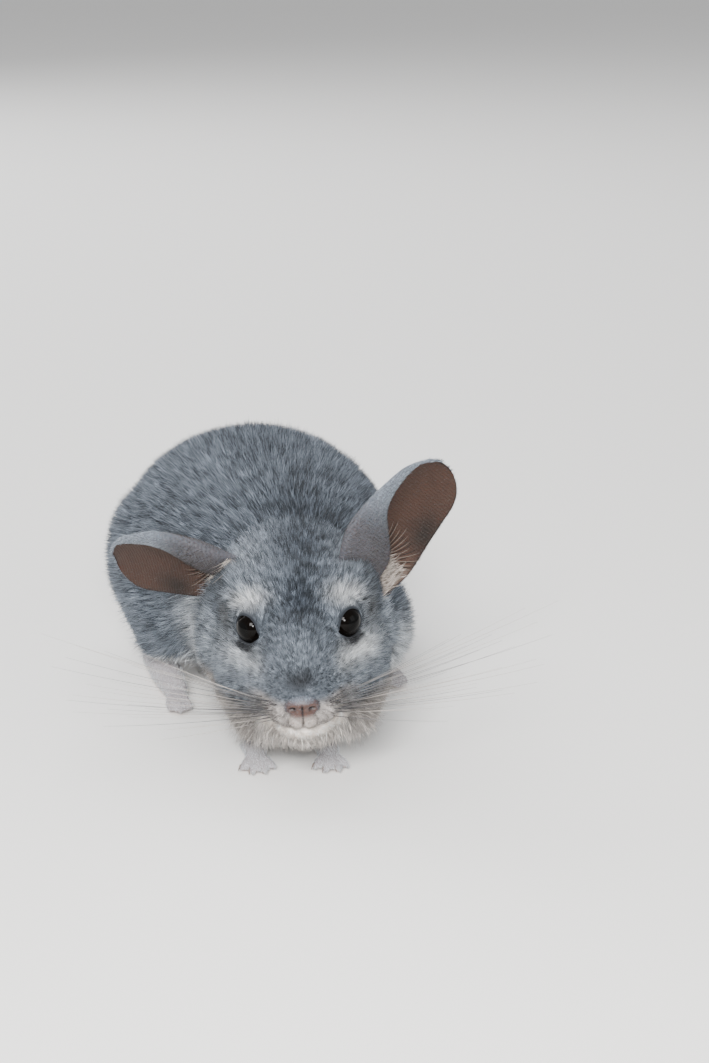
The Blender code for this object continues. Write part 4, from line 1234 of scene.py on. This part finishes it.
def grow_whiskers(finish):
    """Long tapered whiskers in rows on each side of the muzzle, dark at the roots and paler outwards."""
    shares = np.linspace(0.0, 1.0, 16)
    for letter, side in SIDES:
        lines, colours = [], []
        for row in np.linspace(0.0, 2.0, WHISKERS_UP).round(2):
            for column in np.linspace(0.0, 2.0, WHISKERS_BACK):
                longest = column > 1.9 and row in (0.0, 0.8, 2.0)
                jitter = rng.normal(0.0, 0.12, 2) * (not longest)
                place = np.clip((row + jitter[0], column + jitter[1]), 0.0, 2.0)
                stretch = 1.0 if longest else WHISKER_STRETCH[len(lines) % len(WHISKER_STRETCH)]
                lines.append(from_head(whisker_line(side, *place, stretch, shares)))
                pale = blend(SLATE, CREAM, np.full(16, rng.choice((0.25, 0.75))))
                colours.append(blend(np.tile(SOOT, (16, 1)), pale, ease(0.05, 0.55, shares)))
        radii = np.tile(0.135 - 0.10 * shares, (len(lines), 1))
        piece = tubes("whiskers_" + letter, np.array(lines), radii, 5, np.array(colours))
        wear(piece, finish, "pale_fur", "whisker_pad_" + letter)


# Ears

class Ear:
    """The cupped ear: share runs from 0 at the root to 1 at the tip, across from -1 in front to 1."""

    def __init__(self, letter, side):
        splay = Matrix.Rotation(math.radians(EAR_SPLAY[letter]) * side, 3, "Y")
        axis = (splay @ Vector((EAR_AXIS[0] * side, *EAR_AXIS[1:]))).normalized()
        hollow = splay @ Vector((EAR_HOLLOW[0] * side, *EAR_HOLLOW[1:]))
        hollow = (hollow - axis * hollow.dot(axis)).normalized()
        out, back, up = EAR_ROOT[letter]
        self.letter = letter
        self.quarters = EAR_QUARTERS[letter]
        self.axis = np.array(axis)
        self.hollow = np.array(hollow)
        self.rear = np.array(axis.cross(hollow)) * side
        self.root = np.array((out * side, back, up)) - self.axis * EAR_SINK

    def place(self, height, rearward, raised):
        """A point of the head's frame from its height along the ear, and across and out of its plane."""
        return (
            self.root + self.axis * height[:, None] + self.rear * rearward[:, None] + self.hollow * raised[:, None]
        )

    def section(self, share):
        """Middle line, half width, arc, and lowest height of the cup at each share of the length."""
        middle, half, _ = smooth_through(self.quarters, share).T
        past = np.maximum(share - EAR_TIP_START, 0.0) / (1.0 - EAR_TIP_START)
        half = half * np.sqrt(np.maximum(1.0 - past**2, 0.0))
        arc = np.radians(60.0 + 60.0 * np.clip(1.0 - share, 0.0, 1.0) ** 1.5)
        return middle, half, arc, -(4.5 + 4.0 * share**2)

    def sheet(self, share, across):
        """(height, rearward, raised) of the cup's sheet, and beyond across -1 of its folded margin."""
        middle, half, arc, low = self.section(share)
        radius = half / np.sin(arc / 2.0)
        inside = np.maximum(across, -1.0)
        rearward = middle + radius * np.sin(arc * inside / 2.0)
        raised = low + radius * (1.0 - np.cos(arc * inside / 2.0))
        fold = np.clip(-1.0 - across, 0.0, 1.0)
        edge = smooth_through(self.quarters, share)[:, 2]
        reach = np.maximum(edge - (middle - half), 0.5)
        swell = np.minimum(reach / 9.0, 1.0) * ease(0.02, 0.16, share)
        rearward = rearward + reach * fold - 0.9 * np.sin(math.pi * np.minimum(fold * 3.0, 1.0)) * swell
        raised = raised + swell * (1.9 * np.sin(math.pi * fold**0.55) - 1.6 * fold**3)
        return share * EAR_LENGTH, rearward, raised


def make_ear(letter, side, skin_finish, fur):
    """A thin ear with a folded front margin, wrinkles inside, speckled rim and short hair."""
    ear = Ear(letter, side)
    rows = 76
    share = 0.997 * np.sin(np.pi / 2.0 * np.linspace(0.0, 1.0, rows + 1))
    cup = np.linspace(1.0, -1.0, 52)
    fold = -1.0 - np.linspace(0.0, 1.0, 22)[1:]
    across = np.concatenate([cup, fold])
    columns = len(across) - 1
    grid_share, grid_across = (axis.ravel() for axis in np.meshgrid(share, across, indexing="ij"))
    height, rearward, raised = ear.sheet(grid_share, grid_across)
    flap = grid_across < -1.0
    edge = np.minimum(1.0 - grid_across, (0.997 - grid_share) * 2.2)
    flat_place = np.stack([height, rearward, 0.0 * height], axis=1)
    middle_sheet = ear.place(height, rearward, raised)
    grid = middle_sheet.reshape(rows + 1, columns + 1, 3)
    along = np.gradient(grid, axis=0).reshape(-1, 3)
    over = np.gradient(grid, axis=1).reshape(-1, 3)
    normal = unit(np.cross(along, over)) * side
    if (normal[~flap] @ ear.hollow).sum() < 0.0:
        normal = -normal
    wall = EAR_WALL * (0.45 + 0.55 * ease(0.0, 0.12, edge))
    inner = from_head(middle_sheet + normal * wall[:, None])
    outer = from_head(middle_sheet - normal * wall[:, None])
    points = np.concatenate([inner, outer])
    size = len(inner)
    faces = []
    for row in range(rows):
        for column in range(columns):
            a = row * (columns + 1) + column
            b, c, d = a + 1, a + columns + 2, a + columns + 1
            faces += [(a, b, c), (a, c, d), (a + size, c + size, b + size), (a + size, d + size, c + size)]
    border = [row * (columns + 1) for row in range(rows + 1)]
    border += [rows * (columns + 1) + column for column in range(1, columns + 1)]
    border += [row * (columns + 1) + columns for row in range(rows - 1, -1, -1)]
    border += list(range(columns - 1, 0, -1))
    for here, there in zip(border, border[1:] + border[:1]):
        faces += [(here, there, there + size), (here, there + size, here + size)]

    inside = np.tile(np.array(EAR_SKIN), (size, 1))
    inside = blend(inside, np.array(EAR_SKIN) * 1.9, 0.6 * ease(27.0, 14.0, height))
    inside = blend(inside, EAR_DARK, 0.85 * patch(flat_place, (28.0, 13.5, 0.0), (8.5, 4.5, 1.0)))
    inside = blend(inside, JOWL, 0.45 * ease(14.0, 9.0, height - 0.2 * rearward))
    blotch = ease(0.35, 0.9, wander(flat_place, 4.5))
    inside = blend(inside, np.array(EAR_SKIN) * 0.6, 0.5 * blotch * ease(20.0, 30.0, height))
    inside = blend(inside, EAR_DARK, 0.85 * ease(0.05, 0.0, edge) * ~flap)
    upper = ease(12.0, 30.0, height)
    back = blend(np.tile(blend(EAR_SKIN, GREY, 0.45), (size, 1)), GREY, 0.7 * upper)
    both = np.concatenate([inside, back])
    maps = np.stack([np.tile(0.04 + 0.92 * (1.0 - grid_across) / 3.0, 2), np.tile(grid_share, 2)], axis=1)
    maps[size:, 1] *= 0.5
    maps[:size, 1] = 0.5 + maps[:size, 1] * 0.5
    piece = mesh_from("ear_skin_" + letter, points, np.array(faces), both, maps)
    edit_all(piece, bpy.ops.mesh.normals_make_consistent, inside=False)
    wear(piece, skin_finish, "bare_ear", "ear_" + letter)

    ground = Ground(piece)
    is_back = (np.arange(2 * size) >= size).astype(float)
    tall = np.tile(height, 2)
    flap_both = np.tile(flap.astype(float), 2)
    near_edge = ease(0.10, 0.0, np.tile(edge, 2))
    density = 3.0 * is_back * ease(2.0, 8.0, tall) + 4.0 * flap_both * is_back + 0.5 * (1.0 - is_back)
    density = density + 3.0 * near_edge
    density = density * ease(0.0, 3.0, tall)
    hair_colour = blend(np.tile(blend(SILVER, PALE, 0.4), (2 * size, 1)), EAR_FUZZ, ease(32.0, 16.0, tall))
    hair_colour = blend(np.tile(EAR_FUZZ, (2 * size, 1)), hair_colour, is_back)
    marks = np.concatenate([hair_colour, (0.22 + 0.4 * near_edge)[:, None]], axis=1)
    lie = np.tile(head_way(ear.axis + 0.35 * ear.rear), (2 * size, 1))
    short_hair("ear_hair_" + letter, ground, density, marks, lie, (0.9, 1.8), (8.0, 30.0), 0.080, fur, "bare_ear")
    return ear


def on_hollow(ear, height, rearward, lift):
    """Row-frame points this far above the inside of the ear's cup, and how far across it they are."""
    middle, half, arc, low = ear.section(np.clip(height / EAR_LENGTH, 0.0, 1.0))
    radius = half / np.sin(arc / 2.0)
    across = np.clip((rearward - middle) / radius, -0.98, 0.98)
    upright = np.sqrt(1.0 - across**2)
    raised = low + radius * (1.0 - upright) + (EAR_WALL + lift) / upright
    return from_head(ear.place(height, rearward, raised)), across


def grow_ear_folds(ear, side, finish):
    """Dark strips of painted shade for the folds, with pale ones between them, which fan out over the ear's hollow from
    its foot.
    """
    lines, colours, widths, flats = [], [], [], []
    shares = np.linspace(0.0, 1.0, 7)
    for order, degrees in enumerate(np.arange(-10.0, 72.0, 3.4)):
        angle = math.radians(degrees + rng.uniform(-0.8, 0.8))
        bow = math.radians(9.0) * (shares - 0.5) ** 2
        reach = rng.uniform(4.5, 6.5) + shares * rng.uniform(8.0, 13.0)
        height = FOLD_CENTRE[0] + reach * np.cos(angle - bow)
        rearward = FOLD_CENTRE[1] + reach * np.sin(angle - bow)
        pale = order % 2
        line, off_middle = on_hollow(ear, height, rearward, 0.05)
        if np.abs(off_middle).max() > 0.80:
            continue
        lines.append(line)
        flats.append(head_way(ear.rear * math.cos(angle) - ear.axis * math.sin(angle)))
        # The dark strips are painted shade in the folds; the pale strips lie between them
        colours.append(np.tile(blend(EAR_SKIN, JOWL, 0.8) if pale else EAR_DARK, (7, 1)))
        widths.append((0.15 if pale else 0.24) * np.sin(math.pi * np.clip(shares, 0.04, 1.0)) ** 0.5)
    lines, widths = np.array(lines), np.array(widths)
    widths[:, -1] = 0.0
    maps = np.stack([0.3 + 0.4 * rng.random(len(lines)), 0.6 + 0.1 * rng.random(len(lines))], axis=1)
    title = "ear_folds_" + ear.letter
    strand_pieces(title, lines, np.array(flats), widths, np.array(colours), maps, finish, "bare_ear")


def grow_ear_base(ear, side, fur):
    """Pale soft strands that sweep over the foot of the ear's hollow."""
    count = 2400
    height = 15.0 * rng.random(count) ** 0.9 - 2.0
    rearward = rng.uniform(-6.0, 11.5, count) + 0.10 * height
    roots, across = on_hollow(ear, height, rearward, rng.uniform(-0.3, 0.3, count))
    within = np.abs(across) < 0.93
    roots, height, rearward = roots[within], height[within], rearward[within]
    count = len(roots)
    out = np.tile(head_way(ear.hollow), (count, 1))
    to_edge = 1.0 - ease(3.0, 11.0, rearward)
    way = head_way(
        (0.45 * to_edge)[:, None] * ear.rear[None, :] + ear.axis[None, :] * rng.uniform(0.5, 1.1, count)[:, None]
    )
    way = unit(way - out * (way * out).sum(axis=1, keepdims=True))
    length = rng.uniform(3.2, 6.2, count) * (1.0 - 0.35 * ease(6.0, 12.0, height)) * (0.6 + 0.4 * to_edge)
    length = length * np.where(rng.random(count) < 0.18, 1.9, 1.0)
    spines, flat = bent_spines(roots, out, way, length, rng.uniform(10.0, 42.0, count), 30.0, 3, 16.0)
    widths = 0.105 * rng.uniform(0.7, 1.3, count)[:, None] * np.array((1.0, 0.8, 0.0))[None, :]
    marks = np.tile(np.array((*blend(JOWL, CREAM, 0.85), 0.15)), (count, 1))
    maps = np.stack([0.2 + 0.6 * rng.random(count), 0.5 + 0.1 * rng.random(count)], axis=1)
    strand_pieces("ear_base_hair_" + ear.letter, spines, flat, widths, ticked(marks, 3, 0.7), maps, fur, "pale_fur")


# Paws

def claw_lines():
    """Middle lines of the claws in the row frame, from inside the digit to the point."""
    lines = []
    for _, side in SIDES:
        heading = math.radians(HEAD_TURN[0] * 0.6)
        wrist = np.array((-13.0 + 12.5 * side, -82.0 - 3.0 * side, 4.0))
        palm = wrist + np.array((6.0 * math.sin(heading), -6.0 * math.cos(heading), -0.8))
        for degrees, reach in ((-32.0, 7.0), (-11.0, 9.0), (10.0, 9.0), (31.0, 7.0)):
            angle = math.radians(degrees) + heading
            lines.append((palm, angle, 3.0 + reach, -1.7, 2.4))
        ball = np.array((41.5 * side, -23.0, 4.4))
        for degrees, reach in ((-15.0, 9.0), (0.0, 11.0), (15.0, 9.0)):
            angle = math.radians(degrees + 5.0 * side)
            lines.append((ball, angle, 3.5 + reach, -2.1, 3.0))
    made = []
    shares = np.linspace(0.0, 1.0, 7)
    for start, angle, reach, drop, length in lines:
        way = np.array((math.sin(angle), -math.cos(angle), 0.0))
        root = start + way * (reach - 0.8) + np.array((0.0, 0.0, drop + 0.5))
        droop = np.array((0.0, 0.0, -1.3)) * shares[:, None] ** 2
        made.append(root + way * (length * shares)[:, None] + droop)
    made = np.array(made)
    made[:, :, 2] = np.maximum(made[:, :, 2], 0.45)
    return made


def make_paws(skin_finish, fur, horn):
    """Hands and hind feet with very short fur, and small separate claws."""
    for name in ("forepaw_L", "forepaw_R", "hindfoot_L", "hindfoot_R"):
        paw = node_copy(name, 0.0)
        paw.name = name + "_skin"
        apply_modifier(paw, "REMESH", mode="VOXEL", voxel_size=PAW_VOXEL * MM)
        apply_modifier(paw, "SMOOTH", iterations=5)
        points = points_of(paw)
        points = points - normals_of(paw) * 0.35
        points[:, 2] = np.maximum(points[:, 2], 0.02)
        move_points(paw, points)
        edit_all(paw, bpy.ops.mesh.quads_convert_to_tris)
        unwrap(paw)
        paw.data.shade_smooth()
        ground = Ground(paw)
        under = ease(-0.2, -0.7, ground.normals[:, 2])
        colour = blend(np.tile(blend(PAW_SKIN, SILVER, 0.5), (len(points), 1)), PAW_SKIN, under)
        paint(paw, colour)
        wear(paw, skin_finish, "foot_fur", name)
        density = (8.5 if name.startswith("fore") else 5.0) * (1.0 - under)
        pale = blend(SILVER, WHITE, 0.65)
        marks = np.tile(np.array((*pale, 0.08)), (len(points), 1))
        lie = np.tile(np.array((0.0, -1.0, -0.35)), (len(points), 1))
        short_hair(name + "_hair", ground, density, marks, lie, (1.0, 2.0), (12.0, 30.0), 0.10, fur, "foot_fur")
    lines = claw_lines()
    radii = np.tile(0.45 * (1.0 - np.linspace(0.0, 1.0, 7)) ** 0.75 + 0.06, (len(lines), 1))
    claws = tubes("claws", lines, radii, 8, np.tile(np.array(CLAW_HORN), (*lines.shape[:2], 1)))
    wear(claws, horn, "foot_fur")


def main():
    make_stage()
    skin_fur = add_bump(material("skin_under_fur", 0.9, specular=0.05), 1800.0, 0.4)
    fur = material("fur", 0.85, sheen=0.03, specular=0.05)
    ear_finish = add_bump(material("ear_skin", 0.65, specular=0.25, subsurface=0.2), 2600.0, 0.12)
    add_wrinkles(ear_finish, 30.0, 0.22)
    nose_finish = add_bump(material("nose_skin", 0.42, specular=0.45, subsurface=0.2), 5200.0, 0.10)
    eye_gloss = material("eye_gloss", 0.03, specular=0.08)
    whisker = material("whisker", 0.35)
    horn = material("claw_horn", 0.35)

    thing = make_skin()
    unwrap(thing)
    skin = Ground(thing)
    names = region_names(skin.points)
    marks = markings(skin.points, skin.normals, names)
    marks = spread_rows(marks, skin.edges, 1)
    gap, _ = eye_gaps(skin.points)
    # Painted shade: the skin under the coat is painted darker than its fur, less so under pale fur and not at all by
    # the lids, so the gaps between tufts look shaded
    shade = np.where(gap < 1.2, 1.0, mix(0.5, 0.85, ease(0.42, 0.72, marks[:, 1])))
    paint(thing, marks[:, :3] * shade[:, None])
    wear(thing, skin_fur, "grey_fur", *FLESH, "whisker_pad_L", "whisker_pad_R", "tail_brush")
    grow_coat(skin, names, fur)
    grow_guard_hair(skin, names, marks, fur)
    grow_tail(skin, fur)
    make_nose(nose_finish, fur)
    grow_whiskers(whisker)
    for (letter, side), middle in zip(SIDES, EYE_MIDDLES):
        make_eye(letter, side, middle, eye_gloss)
        ear = make_ear(letter, side, ear_finish, fur)
        grow_ear_folds(ear, side, ear_finish)
        grow_ear_base(ear, side, fur)
    make_paws(skin_fur, fur, horn)


main()
